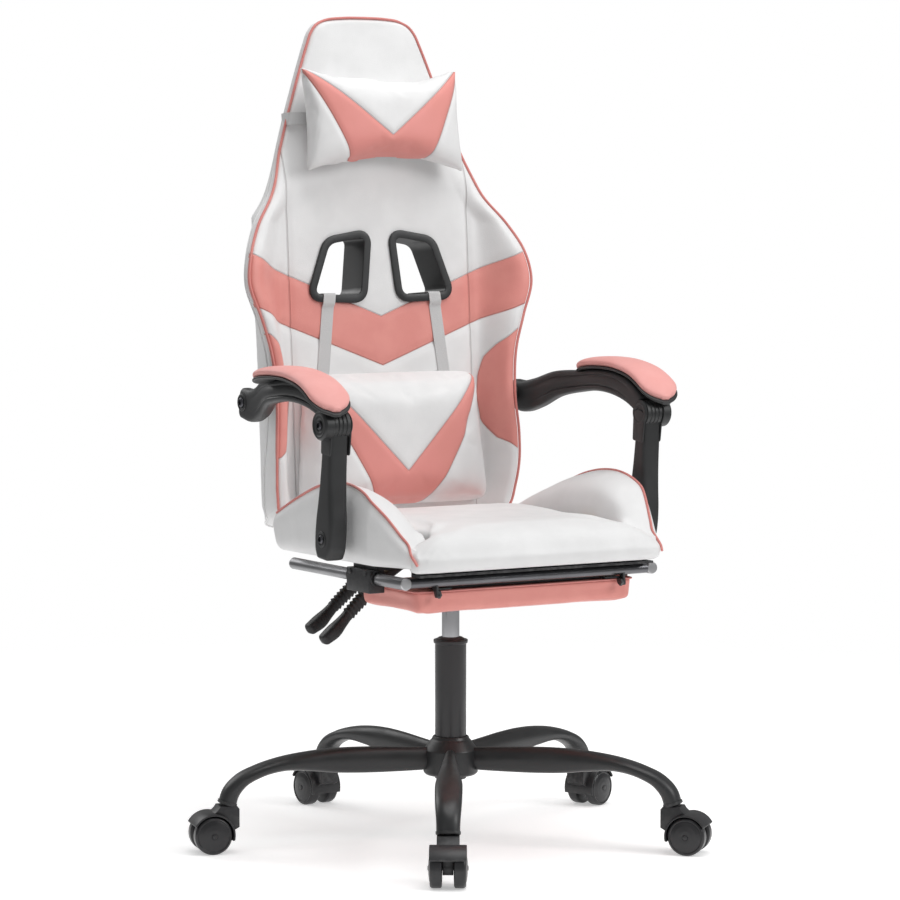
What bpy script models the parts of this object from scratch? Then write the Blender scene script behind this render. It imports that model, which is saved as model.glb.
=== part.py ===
# Reclining office chair of the racing-seat kind: five-leg base on twin-wheel casters, gas lift,
# padded seat with side bolsters, tall reclining back with two cushions, linked arms and a
# pull-out footrest. Metres, +Z up. The chair faces -Y, so the sitter's left is +X.
import math

import bmesh
import bpy
from mathutils import Vector

GAP = 0.0003                # between touching pieces
SIDES = (("left", 1), ("right", -1))

# Casters and star base
WHEEL_RADIUS = 0.030
WHEEL_WIDTH = 0.0195
WHEEL_FACETS = 20
WHEEL_SLOT = 0.0175         # between a caster's two wheels
TRAIL = 0.027               # stem axis to wheel axle
HOOD_GAP = 0.0015           # wheel to hood
HOOD_WALL = 0.003
NECK_HALF = 0.0165
NECK_RISE = 0.0147          # hood top above the wheel top
STEM_RADIUS = 0.0055
STEM_RISE = 0.030
AXLE_RADIUS = 0.004
LEG_COUNT = 5
FIRST_LEG = math.radians(-31.7)
LEG_REACH = 0.369           # column axis to caster stem
HUB_RADIUS = 0.04375
HUB_LIFT = 0.030            # hub bottom above the leg tips
HUB_HEIGHT = 0.058

# Gas lift
COLUMN_RADIUS = 0.025
COLUMN_WALL = 0.003
COLUMN_FLOOR = 0.005
COLUMN_FOOT = 0.0065        # column below the hub
COLUMN_RISE = 0.160         # column above the hub
CYLINDER_RADIUS = 0.014
ROD_RADIUS = 0.005
LIFT_TRAVEL = 0.080
LIFT_SPARE = 0.035          # column top to mechanism, lowered
BUSH_LENGTH = 0.043
BUTTON_RADIUS = 0.0045
BUTTON_TRAVEL = 0.0042

# Tilt mechanism and levers
CHASSIS_HEIGHT = 0.0297
CHASSIS_HALF = 0.050
CHASSIS_FRONT = -0.036
CHASSIS_REAR = 0.115
FLANGE_HALF = 0.085
FLANGE = 0.003
LEVER_PIVOT = 0.042         # pivot axis from the column axis
LEVER_PIN = 0.003
LEVER_HALF = 0.0065
LEVER_ROWS = (("height_lever", 0.0, 0.0), ("recline_lever", 0.046, 0.012))

# Seat
CUSHION_HALF = 0.178
CUSHION_FRONT = -0.285
CUSHION_REAR = 0.155
CUSHION_HEIGHT = 0.050
BOARD = 0.012
BOARD_FRONT = -0.246
BOARD_REAR = 0.130
TAB = 0.005                 # steel side tab and hinge plates
BOLSTER_WIDTH = 0.0714
BOLSTER_CREST = ((0.122, 0.048), (0.090, 0.062), (0.050, 0.077), (-0.020, 0.100), (-0.070, 0.108),
                 (-0.120, 0.108), (-0.160, 0.097), (-0.200, 0.069), (-0.233, 0.036), (-0.2455, 0.024))
FRONT_HALF = 0.226          # the cushion's front roll, across both bolsters' ends

# Footrest
RAIL_X = 0.224
RAIL_RADIUS = 0.00925
RAIL_DROP = 0.021           # rail axis below the seat board
RAIL_FRONT = -0.241
RAIL_REAR = 0.110
HOLDER_FRONT = -0.154
HOLDER_REAR = -0.082
HOLDER_INNER = 0.096
CROSSBAR_RADIUS = 0.008
CROSSBAR_Y = -0.235
FLIP_DROP = 0.0195          # flip axis below the crossbar
FLIP_AHEAD = 0.006
FLIP_PIN = 0.003
PAD_HALF_GAP = 0.0145       # rail to footrest pad
PAD_FRONT = -0.232
PAD_REAR = -0.048
PAD_THICK = 0.038
EAR_X = 0.168
EAR_WIDTH = 0.004

# Back, measured from the recline axis and square to its lean
LEAN = math.radians(4.0)
AXIS_Y = 0.217
AXIS_RISE = 0.045           # recline axis above the seat board
BACK_FACE = -0.0195
BACK_REAR = 0.040
BACK_OUTLINE = ((-0.030, 0.040, 0.010), (0.014, 0.051, 0.016), (0.059, 0.057, 0.022),
                (0.104, 0.054, 0.030), (0.174, 0.043, 0.037), (0.249, 0.047, 0.042),
                (0.304, 0.063, 0.044), (0.364, 0.082, 0.042), (0.410, 0.074, 0.036),
                (0.460, 0.052, 0.020), (0.505, 0.008, 0.004))
BACK_DEPTH = ((-0.030, 0.052), (0.059, 0.050), (0.104, 0.044), (0.174, 0.037), (0.249, 0.027), (0.364, 0.021),
              (0.460, 0.023), (0.580, 0.026), (0.790, 0.026))     # thickness at the side edge
HEAD_BEND = 0.020           # how far the top of the head leans further back
BEND_FROM = 0.440
HEAD_OUTLINE = ((0.580, 0.170), (0.631, 0.152), (0.725, 0.116), (0.768, 0.100), (0.7875, 0.084))
UPRIGHT = 0.020
UPRIGHT_Y = 0.009
UPRIGHT_TOP = 0.4785
CROSS_RAILS = (0.050, 0.225, 0.4685)
LUG = 0.020
PIN_RADIUS = 0.005
GROMMET_HOLE = ((0.040, 0.342), (0.125, 0.345), (0.095, 0.426), (0.029, 0.437))
GROMMET_WALL = 0.003
GROMMET_RIM = 0.013
GROMMET_ROUND = 0.008
GROMMET_LIP = 0.004

# Pillows and straps
STRAP = 0.0015
HEAD_PILLOW_Z = 0.627
HEAD_PILLOW_HALF = 0.147
HEAD_PILLOW_RISE = 0.083
HEAD_PILLOW_THICK = 0.062
HEAD_STRAP_HALF = 0.010
LUMBAR_BOTTOM = 0.006
LUMBAR_HEIGHT = 0.208
LUMBAR_HALF_LOW = 0.175
LUMBAR_HALF_TOP = 0.150
LUMBAR_THICK = 0.070
LUMBAR_STRAP_HALF = 0.011
LUMBAR_STRAP_FOOT = 0.128   # strap centre at the pillow
LUMBAR_STRAP_HEAD = 0.099   # strap centre at the hole

# Arms, in side view (y, z above the seat board)
POST_FOOT = (-0.122, 0.029)
POST_HEAD = (-0.139, 0.204)
POST_HALF = 0.019
POST_OUT = 0.010            # bolster to post
DISC_RADIUS = 0.023
DISC_INNER = 0.008
DISC_OUTER = 0.017
BOLT_RADIUS = 0.004
BEAM_HALF_REAR = 0.012
BOSS_PROUD = 0.002          # rear boss beyond the beam's outer side
BOSS_MARGIN = 0.0485        # hinge cheek to the boss's inner end, clear of the back's side
BEAM_PATH = ((0.200, 0.219, 0.022), (0.160, 0.217, 0.022), (0.105, 0.235, 0.019), (0.050, 0.246, 0.018),
             (0.000, 0.250, 0.018), (-0.050, 0.247, 0.019), (-0.095, 0.235, 0.019),
             (-0.128, 0.217, 0.016))
ARM_PAD_HALF = 0.0325
ARM_PAD_THICK = 0.018
ARM_PAD_PATH = ((0.078, 0.256), (0.040, 0.266), (-0.010, 0.269), (-0.060, 0.266), (-0.105, 0.254),
                (-0.140, 0.237), (-0.164, 0.215))

# Heights and places that follow from the sizes above
HOOD_TOP = 2 * WHEEL_RADIUS + NECK_RISE
TIP = HOOD_TOP + GAP
HUB_BOTTOM = TIP + HUB_LIFT
HUB_TOP = HUB_BOTTOM + HUB_HEIGHT
COLUMN_BOTTOM = HUB_BOTTOM - COLUMN_FOOT
COLUMN_TOP = HUB_TOP + COLUMN_RISE
CHASSIS_Z = COLUMN_TOP + LIFT_TRAVEL + LIFT_SPARE
CYLINDER_TOP = CHASSIS_Z + 0.0082
BUTTON_TOP = CHASSIS_Z + 0.016
LEVER_Z = CHASSIS_Z + 0.0185
BOARD_Z = CHASSIS_Z + CHASSIS_HEIGHT + GAP
SEAT_Z = BOARD_Z + BOARD
BOARD_HALF = CUSHION_HALF + GAP + TAB
PLATE_X = BOARD_HALF + GAP
BOLSTER_IN = BOARD_HALF + GAP
BOLSTER_OUT = BOLSTER_IN + BOLSTER_WIDTH
POST_X = BOLSTER_OUT + POST_OUT + POST_HALF
RAIL_Z = BOARD_Z - RAIL_DROP
FLIP_Y = CROSSBAR_Y - FLIP_AHEAD
FLIP_Z = RAIL_Z - FLIP_DROP
PAD_HALF = RAIL_X - RAIL_RADIUS - PAD_HALF_GAP
AXIS = Vector((0, AXIS_Y, SEAT_Z + AXIS_RISE))
FOOT = Vector((0, POST_FOOT[0], SEAT_Z + POST_FOOT[1]))
HEAD = Vector((0, POST_HEAD[0], SEAT_Z + POST_HEAD[1]))
BEAM_PIVOT = AXIS + HEAD - FOOT     # the arm link is a parallelogram
FORK_IN = POST_X - 0.0125
FORK_OUT = POST_X + 0.0159
BEAM_X = BOLSTER_OUT + 0.002

PAINTS = {
    "black_metal": ((0.020, 0.020, 0.022), 0.45, 0.6),
    "black_plastic": ((0.024, 0.024, 0.026), 0.50, 0.0),
    "grey_steel": ((0.16, 0.16, 0.17), 0.35, 0.9),
    "chrome": ((0.75, 0.75, 0.77), 0.12, 1.0),
    "nylon": ((0.30, 0.30, 0.31), 0.55, 0.0),
    "wood": ((0.45, 0.32, 0.20), 0.70, 0.0),
    "white_leather": ((0.80, 0.80, 0.80), 0.50, 0.0),
    "pink_leather": ((0.80, 0.30, 0.26), 0.50, 0.0),
    "white_webbing": ((0.75, 0.75, 0.75), 0.80, 0.0),
}


def clear_scene():
    for item in list(bpy.data.objects):
        bpy.data.objects.remove(item)


def paint(name, kind):
    colour, roughness, metallic = PAINTS[kind]
    material = bpy.data.materials.new(name + "_paint")
    material.use_nodes = True
    shader = material.node_tree.nodes["Principled BSDF"]
    shader.inputs["Base Color"].default_value = (*colour, 1)
    shader.inputs["Roughness"].default_value = roughness
    shader.inputs["Metallic"].default_value = metallic
    return material


def skin(rings, loop):
    """One closed body over a stack of equal rings, capped, or joined last to first."""
    body = bmesh.new()
    rows = [[body.verts.new(point) for point in ring] for ring in rings]
    pairs = list(zip(rows, rows[1:]))
    if loop:
        pairs.append((rows[-1], rows[0]))
    else:
        body.faces.new(rows[0])
        body.faces.new(rows[-1])
    count = len(rows[0])
    for low, high in pairs:
        for i in range(count):
            j = (i + 1) % count
            body.faces.new((low[i], low[j], high[j], high[i]))
    bmesh.ops.recalc_face_normals(body, faces=body.faces)
    return body


def add(name, rings, kind=None, origin=(0, 0, 0), tilt=0.0, loop=False):
    """An object from rings given about its own origin. With no paint it is a cutter or a blank."""
    body = skin(rings, loop)
    mesh = bpy.data.meshes.new(name)
    body.to_mesh(mesh)
    body.free()
    mesh.shade_smooth()
    mesh.set_sharp_from_angle(angle=math.radians(35))
    item = bpy.data.objects.new(name, mesh)
    item.location = origin
    item.rotation_euler.x = tilt
    bpy.context.collection.objects.link(item)
    if kind:
        mesh.materials.append(paint(name, kind))
    else:
        item.hide_render = True
        item.display_type = "WIRE"
    return item


def about(rings, origin):
    """The same rings, measured from a new origin."""
    return [[Vector(point) - Vector(origin) for point in ring] for ring in rings]


def add_world(name, rings, kind=None, origin=(0, 0, 0), loop=False):
    return add(name, about(rings, origin), kind, origin, 0.0, loop)


def add_back(name, rings, kind=None, loop=False):
    """Back pieces are drawn upright from the recline axis, then leaned."""
    return add(name, rings, kind, AXIS, -LEAN, loop)


def combine(target, tool, operation):
    step = target.modifiers.new(tool.name, "BOOLEAN")
    step.operation = operation
    step.object = tool
    step.solver = "EXACT"


def carve(target, tool):
    combine(target, tool, "DIFFERENCE")


def weld(target, tool):
    combine(target, tool, "UNION")


def box(low, high):
    """Two square rings between opposite corners."""
    (x0, y0, z0), (x1, y1, z1) = low, high
    return [[(x0, y0, z), (x1, y0, z), (x1, y1, z), (x0, y1, z)] for z in (z0, z1)]


def side_prism(outline, x0, x1):
    """A (y, z) outline drawn out along X."""
    return [[(x, y, z) for y, z in outline] for x in (x0, x1)]


def circle(radius, sides, centre=(0, 0), turn=0.0):
    steps = [turn + math.tau * i / sides for i in range(sides)]
    return [(centre[0] + radius * math.cos(a), centre[1] + radius * math.sin(a)) for a in steps]


def rod_x(centre, radius, x0, x1, sides=12):
    return side_prism(circle(radius, sides, centre), x0, x1)


def rod_y(centre, radius, y0, y1, sides=12):
    return [[(x, y, z) for x, z in circle(radius, sides, centre)] for y in (y0, y1)]


def rod_z(radius, z0, z1, sides=24, centre=(0, 0)):
    return [[(x, y, z) for x, y in circle(radius, sides, centre)] for z in (z0, z1)]


def turned(profile, sides):
    """Rings about Z for a (radius, z) profile."""
    return [[(x, y, z) for x, y in circle(radius, sides)] for radius, z in profile]


def oval(centre, across, up, half_width, half_height, sides=12, square=2.0):
    """A rounded ring, an ellipse at square 2 and boxier above that."""
    ring = []
    for i in range(sides):
        angle = math.tau * (i + 0.5) / sides
        c, s = math.cos(angle), math.sin(angle)
        u = math.copysign(abs(c) ** (2 / square), c) * half_width
        v = math.copysign(abs(s) ** (2 / square), s) * half_height
        ring.append(centre + across * u + up * v)
    return ring


# Star base and casters

def leg_direction(number):
    angle = FIRST_LEG + math.tau * number / LEG_COUNT
    return Vector((math.sin(angle), -math.cos(angle), 0))


def leg_rings(number):
    """Tall and narrow at the hub, wide and flat further out, turned down at the tip."""
    out = leg_direction(number)
    across = Vector((-out.y, out.x, 0))
    reach = LEG_REACH
    path = ((0.030, 0.057, 0.0095, 0.018), (0.090, 0.0585, 0.011, 0.020), (reach - 0.232, 0.060, 0.013, 0.021),
            (reach - 0.180, 0.0615, 0.015, 0.0215), (reach - 0.134, 0.064, 0.018, 0.016),
            (reach - 0.089, 0.0625, 0.0215, 0.0105), (reach - 0.036, 0.047, 0.021, 0.0105),
            (reach - 0.011, 0.031, 0.020, 0.0125), (reach, 0.013, 0.0185, 0.014), (reach, 0.0, 0.018, 0.014))
    rings = []
    for i, (r, rise, half_width, half_height) in enumerate(path):
        before = path[max(i - 1, 0)]
        after = path[min(i + 1, len(path) - 1)]
        run, climb = after[0] - before[0], after[1] - before[1]
        if i == len(path) - 1:
            run, climb = 0.0, -1.0
        size = math.hypot(run, climb)
        up = (Vector((0, 0, run)) - out * climb) / size
        centre = out * r + Vector((0, 0, TIP + rise))
        rings.append(oval(centre, across, up, half_width, half_height))
    return rings


def build_base():
    collar = HUB_RADIUS - 0.0128
    profile = ((collar, HUB_BOTTOM), (HUB_RADIUS, HUB_BOTTOM + 0.005), (HUB_RADIUS, HUB_TOP - 0.014),
               (collar, HUB_TOP))
    base = add_world("star_base", turned(profile, 30), "black_metal")
    for number in range(LEG_COUNT):
        weld(base, add_world("leg_blank", leg_rings(number)))
    carve(base, add_world("hub_bore", rod_z(COLUMN_RADIUS + GAP, 0, HUB_TOP + 0.01, 30)))
    for number in range(LEG_COUNT):
        x, y, _ = leg_direction(number) * LEG_REACH
        socket = rod_z(STEM_RADIUS + GAP, TIP - 0.01, TIP + STEM_RISE, 12, (x, y))
        carve(base, add_world("stem_socket", socket))


def caster_frame(number):
    out = leg_direction(number)
    return out, Vector((-out.y, out.x, 0)), out * LEG_REACH


def caster_prism(outline, half, number):
    """An outline in the caster's own (outward, up) plane, drawn out along its axle."""
    out, across, stem = caster_frame(number)
    return [[stem + out * u + Vector((0, 0, z)) + across * w for u, z in outline] for w in (-half, half)]


def arc(radius, start, end, steps, centre=(TRAIL, WHEEL_RADIUS)):
    angles = [math.radians(start + (end - start) * i / steps) for i in range(steps + 1)]
    return [(centre[0] + radius * math.cos(a), centre[1] + radius * math.sin(a)) for a in angles]


def build_caster(number):
    label = "caster_%d" % (number + 1)
    out, across, stem = caster_frame(number)
    slot = WHEEL_SLOT / 2 - 0.0004
    inner = WHEEL_RADIUS / math.cos(math.pi / WHEEL_FACETS) + HOOD_GAP
    outer = inner + HOOD_WALL
    full = WHEEL_SLOT / 2 + WHEEL_WIDTH
    neck = arc(inner, 100, 165, 4) + [(-NECK_HALF, 0.045), (-NECK_HALF, HOOD_TOP), (NECK_HALF, HOOD_TOP)]
    hood = add_world(label + "_hood", caster_prism(neck, 0.0172, number), "black_plastic", stem)
    cover = arc(inner, 30, 192, 9) + arc(outer, 192, 30, 9)
    web = arc(inner + 0.001, 70, 175, 5) + arc(0.010, 200, 360, 5)
    axle = circle(AXLE_RADIUS, 10, (TRAIL, WHEEL_RADIUS))
    for outline, half in ((cover, full), (web, slot), (axle, full - 0.003)):
        weld(hood, add_world("hood_blank", caster_prism(outline, half, number), None, stem))
    pin = rod_z(STEM_RADIUS, HOOD_TOP - 0.004, TIP + STEM_RISE - 0.002, 12, (stem.x, stem.y))
    weld(hood, add_world("stem_blank", pin, None, stem))
    for letter, side in (("a", 1), ("b", -1)):
        build_wheel(label + "_wheel_" + letter, out, across * side, stem + out * TRAIL)


def build_wheel(name, out, axis, centre):
    """A drum with a dished outer face and a through bore. One facet lies flat on the floor."""
    rim = WHEEL_RADIUS / math.cos(math.pi / WHEEL_FACETS)
    bore = AXLE_RADIUS + GAP
    near = WHEEL_SLOT / 2
    far = near + WHEEL_WIDTH
    profile = ((bore, near), (rim, near), (rim, far - 0.003), (rim - 0.003, far), (rim - 0.010, far - 0.002),
               (bore, far - 0.002))
    hub = centre + Vector((0, 0, WHEEL_RADIUS))
    rings = []
    for radius, along in profile:
        spots = circle(radius, WHEEL_FACETS, turn=math.pi / WHEEL_FACETS)
        rings.append([hub + out * u + Vector((0, 0, v)) + axis * along for u, v in spots])
    add_world(name, rings, "black_plastic", hub, loop=True)


# Gas lift

def build_gas_lift():
    bore = COLUMN_RADIUS - COLUMN_WALL
    floor = COLUMN_BOTTOM + COLUMN_FLOOR
    tube = ((COLUMN_RADIUS, COLUMN_BOTTOM), (COLUMN_RADIUS, COLUMN_TOP), (bore, COLUMN_TOP), (bore, floor))
    add_world("gas_column", turned(tube, 30), "black_metal")
    cylinder_foot = CHASSIS_Z - 0.238
    guide = CYLINDER_RADIUS + 0.0004
    bush = ((bore - GAP, COLUMN_TOP - BUSH_LENGTH), (bore - GAP, COLUMN_TOP), (guide, COLUMN_TOP),
            (guide, COLUMN_TOP - BUSH_LENGTH))
    add_world("column_bush", turned(bush, 30), "nylon", loop=True)
    rod_top = cylinder_foot + 0.100
    rod = ((0.015, floor + GAP), (0.015, floor + 0.008), (ROD_RADIUS, floor + 0.008), (ROD_RADIUS, rod_top))
    add_world("gas_rod", turned(rod, 16), "grey_steel")
    cylinder = add_world("gas_cylinder", rod_z(CYLINDER_RADIUS, cylinder_foot, CYLINDER_TOP, 30), "chrome")
    chamber = rod_z(ROD_RADIUS + 0.001, cylinder_foot - 0.01, rod_top + LIFT_TRAVEL + 0.01, 16)
    carve(cylinder, add_world("rod_chamber", chamber))
    seat = rod_z(BUTTON_RADIUS + GAP, BUTTON_TOP - 0.0180, CYLINDER_TOP + 0.01, 16)
    carve(cylinder, add_world("button_seat", seat))
    button = rod_z(BUTTON_RADIUS, BUTTON_TOP - 0.0125, BUTTON_TOP, 16)
    add_world("release_button", button, "nylon")


# Mechanism

def build_chassis():
    """A block pocketed from below, on a wide bolting flange, with a slot for each lever."""
    top = CHASSIS_Z + CHASSIS_HEIGHT
    low = (-CHASSIS_HALF, CHASSIS_FRONT, CHASSIS_Z)
    chassis = add_world("chassis_plate", box(low, (CHASSIS_HALF, CHASSIS_REAR, top)), "black_metal")
    flange = box((-FLANGE_HALF, CHASSIS_FRONT + 0.006, top - FLANGE), (FLANGE_HALF, CHASSIS_REAR - 0.006, top))
    weld(chassis, add_world("flange_blank", flange))
    carve(chassis, add_world("cylinder_bore", rod_z(CYLINDER_RADIUS + GAP, CHASSIS_Z - 0.01, LEVER_Z, 30)))
    inner = CHASSIS_HALF - 0.004
    for label, low_y, high_y in (("front", CHASSIS_FRONT + 0.004, -0.019), ("rear", 0.019, 0.034),
                                 ("back", 0.058, CHASSIS_REAR - 0.004)):
        pocket = box((-inner, low_y, CHASSIS_Z - 0.01), (inner, high_y, top - FLANGE - 0.001))
        carve(chassis, add_world(label + "_pocket", pocket))
    for label, y, _ in LEVER_ROWS:
        half = LEVER_HALF + 0.0005
        slot = box((-FLANGE_HALF - 0.01, y - half, LEVER_Z - 0.0085), (0.009, y + half, top + 0.01))
        carve(chassis, add_world(label + "_slot", slot))
        pin = rod_y((-LEVER_PIVOT, LEVER_Z), LEVER_PIN + GAP, y - LEVER_HALF - 0.0045, y + LEVER_HALF + 0.0045)
        carve(chassis, add_world(label + "_pin_hole", pin))


def build_lever(name, y, raise_tip):
    """A flat inner arm, a ribbed shank that droops and a paddle. It turns on its own cross pin."""
    path = [(0.044, 0.0, 0.0020, 0.75), (0.0, 0.0, 0.0035, 1.0), (-0.030, -0.003, 0.0040, 1.0),
            (-0.075, -0.024, 0.0055, 1.0), (-0.100, -0.040, 0.0060, 1.0)]
    for i in range(7):
        swell = 0.0015 if i % 2 else 0.0
        path.append((-0.106 - 0.007 * i, -0.045 - 0.0065 * i, 0.006 + swell, 1.0 + swell * 60))
    path += [(-0.156, -0.091, 0.0050, 1.15), (-0.176, -0.110, 0.0045, 1.65), (-0.193, -0.121, 0.0030, 1.50)]
    pivot = Vector((-LEVER_PIVOT, y, LEVER_Z))
    across = Vector((0, 1, 0))
    rings = []
    for i, (u, v, half, spread) in enumerate(path):
        before, after = path[max(i - 1, 0)], path[min(i + 1, len(path) - 1)]
        slope = Vector((after[0] - before[0], 0, after[1] - before[1])).normalized()
        drop = v + raise_tip * max(0.0, -u - 0.03) / 0.163
        centre = Vector((u, 0, drop))
        rings.append(oval(centre, across, slope.cross(across), LEVER_HALF * spread, half, 8, 4.0))
    lever = add(name, rings, "black_plastic", pivot)
    pin = rod_y((-LEVER_PIVOT, LEVER_Z), LEVER_PIN, y - LEVER_HALF - 0.004, y + LEVER_HALF + 0.004)
    weld(lever, add_world(name + "_pin", pin))


# Seat

def build_seat_board():
    low = (-BOARD_HALF, BOARD_FRONT, BOARD_Z)
    board = add_world("seat_board", box(low, (BOARD_HALF, BOARD_REAR, SEAT_Z)), "wood")
    foot = FOOT
    for side, sign in SIDES:
        x0, x1 = sorted((sign * (CUSHION_HALF + GAP), sign * BOARD_HALF))
        tab = box((x0, foot.y - 0.020, BOARD_Z + 0.002), (x1, foot.y + 0.020, foot.z + 0.012))
        weld(board, add_world("tab_blank", tab))
        hole = rod_x((foot.y, foot.z), BOLT_RADIUS + GAP, x0 - 0.01, x1 + 0.01)
        carve(board, add_world("tab_hole", hole))


def build_cushion():
    """One thick pad whose front rolls down over the board's edge."""
    front, rear = CUSHION_FRONT, CUSHION_REAR
    top = SEAT_Z + CUSHION_HEIGHT
    lip = BOARD_FRONT - GAP
    roll = [(front + 0.010, SEAT_Z - 0.017), (front, SEAT_Z - 0.002), (front, SEAT_Z + 0.020),
            (front + 0.009, top - 0.012), (front + 0.030, top)]
    outline = [(lip, SEAT_Z + GAP), (lip, SEAT_Z - 0.018)] + roll
    outline += [(0.020, top), (rear - 0.020, top - 0.006), (rear, top - 0.016)]
    outline += [(rear, SEAT_Z + GAP)]
    cushion = add_world("seat_cushion", side_prism(outline, -CUSHION_HALF, CUSHION_HALF), "white_leather")
    nose = [(lip, SEAT_Z - 0.018)] + roll + [(lip, top)]
    centre = Vector((0, lip, SEAT_Z + 0.012))
    rings = []
    for x, share in ((-FRONT_HALF, 0.72), (-CUSHION_HALF, 1.0), (CUSHION_HALF, 1.0), (FRONT_HALF, 0.72)):
        ring = []
        for y, z in nose:
            ring.append((x, centre.y + (y - centre.y) * share, centre.z + (z - centre.z) * (share if z > centre.z else 1)))
        rings.append(ring)
    weld(cushion, add_world("front_roll", rings))


def bolster_rings(sign):
    """Low beside the cushion, rising to a crest near the outside, then straight down."""
    rings = []
    for y, crest in BOLSTER_CREST:
        slim = max(0.0, -0.18 - y) / 0.082
        outer = BOLSTER_OUT - 0.030 * slim
        side = ((BOLSTER_IN, 0), (BOLSTER_IN, min(0.80 * crest, 0.046)),
                (BOLSTER_IN + 0.014, min(0.90 * crest, 0.058)), (outer - 0.026, 0.96 * crest),
                (outer - 0.012, crest), (outer, 0.88 * crest), (outer + 0.002, 0.45 * crest), (outer - 0.006, 0))
        rings.append([(sign * x, y, SEAT_Z + GAP + z) for x, z in side])
    return rings


def build_bolsters():
    for side, sign in SIDES:
        bolster = add_world("seat_bolster_" + side, bolster_rings(sign), "white_leather")
        x0, x1 = sorted((sign * BOARD_HALF, sign * (BOLSTER_OUT + 0.01)))
        hole = rod_x((FOOT.y, FOOT.z), BOLT_RADIUS + 0.001, x0, x1)
        carve(bolster, add_world("bolster_hole", hole))


def build_hinge_plates():
    """Steel cheeks that run under the bolsters and rise to the recline axis."""
    y, z = AXIS.y, AXIS.z
    top_low = SEAT_Z - 0.0003
    outline = [(0.030, BOARD_Z - 0.003), (CUSHION_REAR + 0.020, BOARD_Z - 0.003)]
    outline += [(y + 0.018 * math.cos(a), z + 0.018 * math.sin(a)) for a in
                [math.radians(-40 + 25 * i) for i in range(9)]]
    outline += [(CUSHION_REAR + 0.006, top_low), (0.030, top_low)]
    for side, sign in SIDES:
        x0, x1 = sorted((sign * PLATE_X, sign * (PLATE_X + TAB)))
        plate = add_world("seat_hinge_plate_" + side, side_prism(outline, x0, x1), "black_metal")
        f0, f1 = sorted((sign * (PLATE_X - 0.020), sign * (PLATE_X + TAB)))
        flange = box((f0, 0.030, BOARD_Z - 0.003 - GAP), (f1, BOARD_REAR, BOARD_Z - GAP))
        weld(plate, add_world("plate_flange", flange))
        hole = rod_x((y, z), PIN_RADIUS + GAP, x0 - 0.01, x1 + 0.01, 16)
        carve(plate, add_world("plate_hole", hole))


# Footrest

def build_footrest_slides():
    for side, sign in SIDES:
        x0, x1 = sorted((sign * (RAIL_X - 0.014), sign * (RAIL_X + 0.014)))
        block = box((x0, HOLDER_FRONT, RAIL_Z - 0.0225), (x1, HOLDER_REAR, RAIL_Z + 0.0135))
        holder = add_world("footrest_holder_" + side, block, "black_metal")
        f0, f1 = sorted((sign * HOLDER_INNER, sign * RAIL_X))
        flange = box((f0, HOLDER_FRONT, BOARD_Z - GAP - 0.0085), (f1, HOLDER_REAR, BOARD_Z - GAP))
        weld(holder, add_world("holder_flange", flange))
        bore = rod_y((sign * RAIL_X, RAIL_Z), RAIL_RADIUS + GAP, HOLDER_FRONT - 0.01, HOLDER_REAR + 0.01, 16)
        carve(holder, add_world("holder_bore", bore))
        tube = rod_y((sign * RAIL_X, RAIL_Z), RAIL_RADIUS, RAIL_FRONT, RAIL_REAR, 16)
        rail = add_world("footrest_tube_" + side, tube, "grey_steel")
        s0, s1 = sorted((sign * (RAIL_X - 0.020), sign * (RAIL_X - 0.004)))
        socket = rod_x((CROSSBAR_Y, RAIL_Z), CROSSBAR_RADIUS - 0.002 + GAP, s0, s1)
        carve(rail, add_world("crossbar_socket", socket))


def build_crossbar():
    """The bar between the rails, stepped into them, with two ears that carry the flip pins."""
    end = RAIL_X - RAIL_RADIUS - 0.001
    bar = add_world("footrest_crossbar", rod_x((CROSSBAR_Y, RAIL_Z), CROSSBAR_RADIUS, -end, end), "grey_steel",
                    (0, CROSSBAR_Y, RAIL_Z))
    spigot = rod_x((CROSSBAR_Y, RAIL_Z), CROSSBAR_RADIUS - 0.002, 0.0043 - RAIL_X, RAIL_X - 0.0043)
    weld(bar, add_world("spigot_blank", spigot))
    outline = [(CROSSBAR_Y - 0.007, RAIL_Z), (FLIP_Y - 0.0065, FLIP_Z), (FLIP_Y - 0.004, FLIP_Z - 0.0055),
               (FLIP_Y + 0.003, FLIP_Z - 0.0055), (FLIP_Y + 0.006, FLIP_Z), (CROSSBAR_Y + 0.007, RAIL_Z)]
    for side, sign in SIDES:
        x0, x1 = sorted((sign * EAR_X, sign * (EAR_X + EAR_WIDTH)))
        weld(bar, add_world("ear_blank", side_prism(outline, x0, x1)))
        p0, p1 = sorted((sign * (EAR_X - 0.0075), sign * (EAR_X + 0.002)))
        weld(bar, add_world("pin_blank", rod_x((FLIP_Y, FLIP_Z), FLIP_PIN, p0, p1)))


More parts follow.
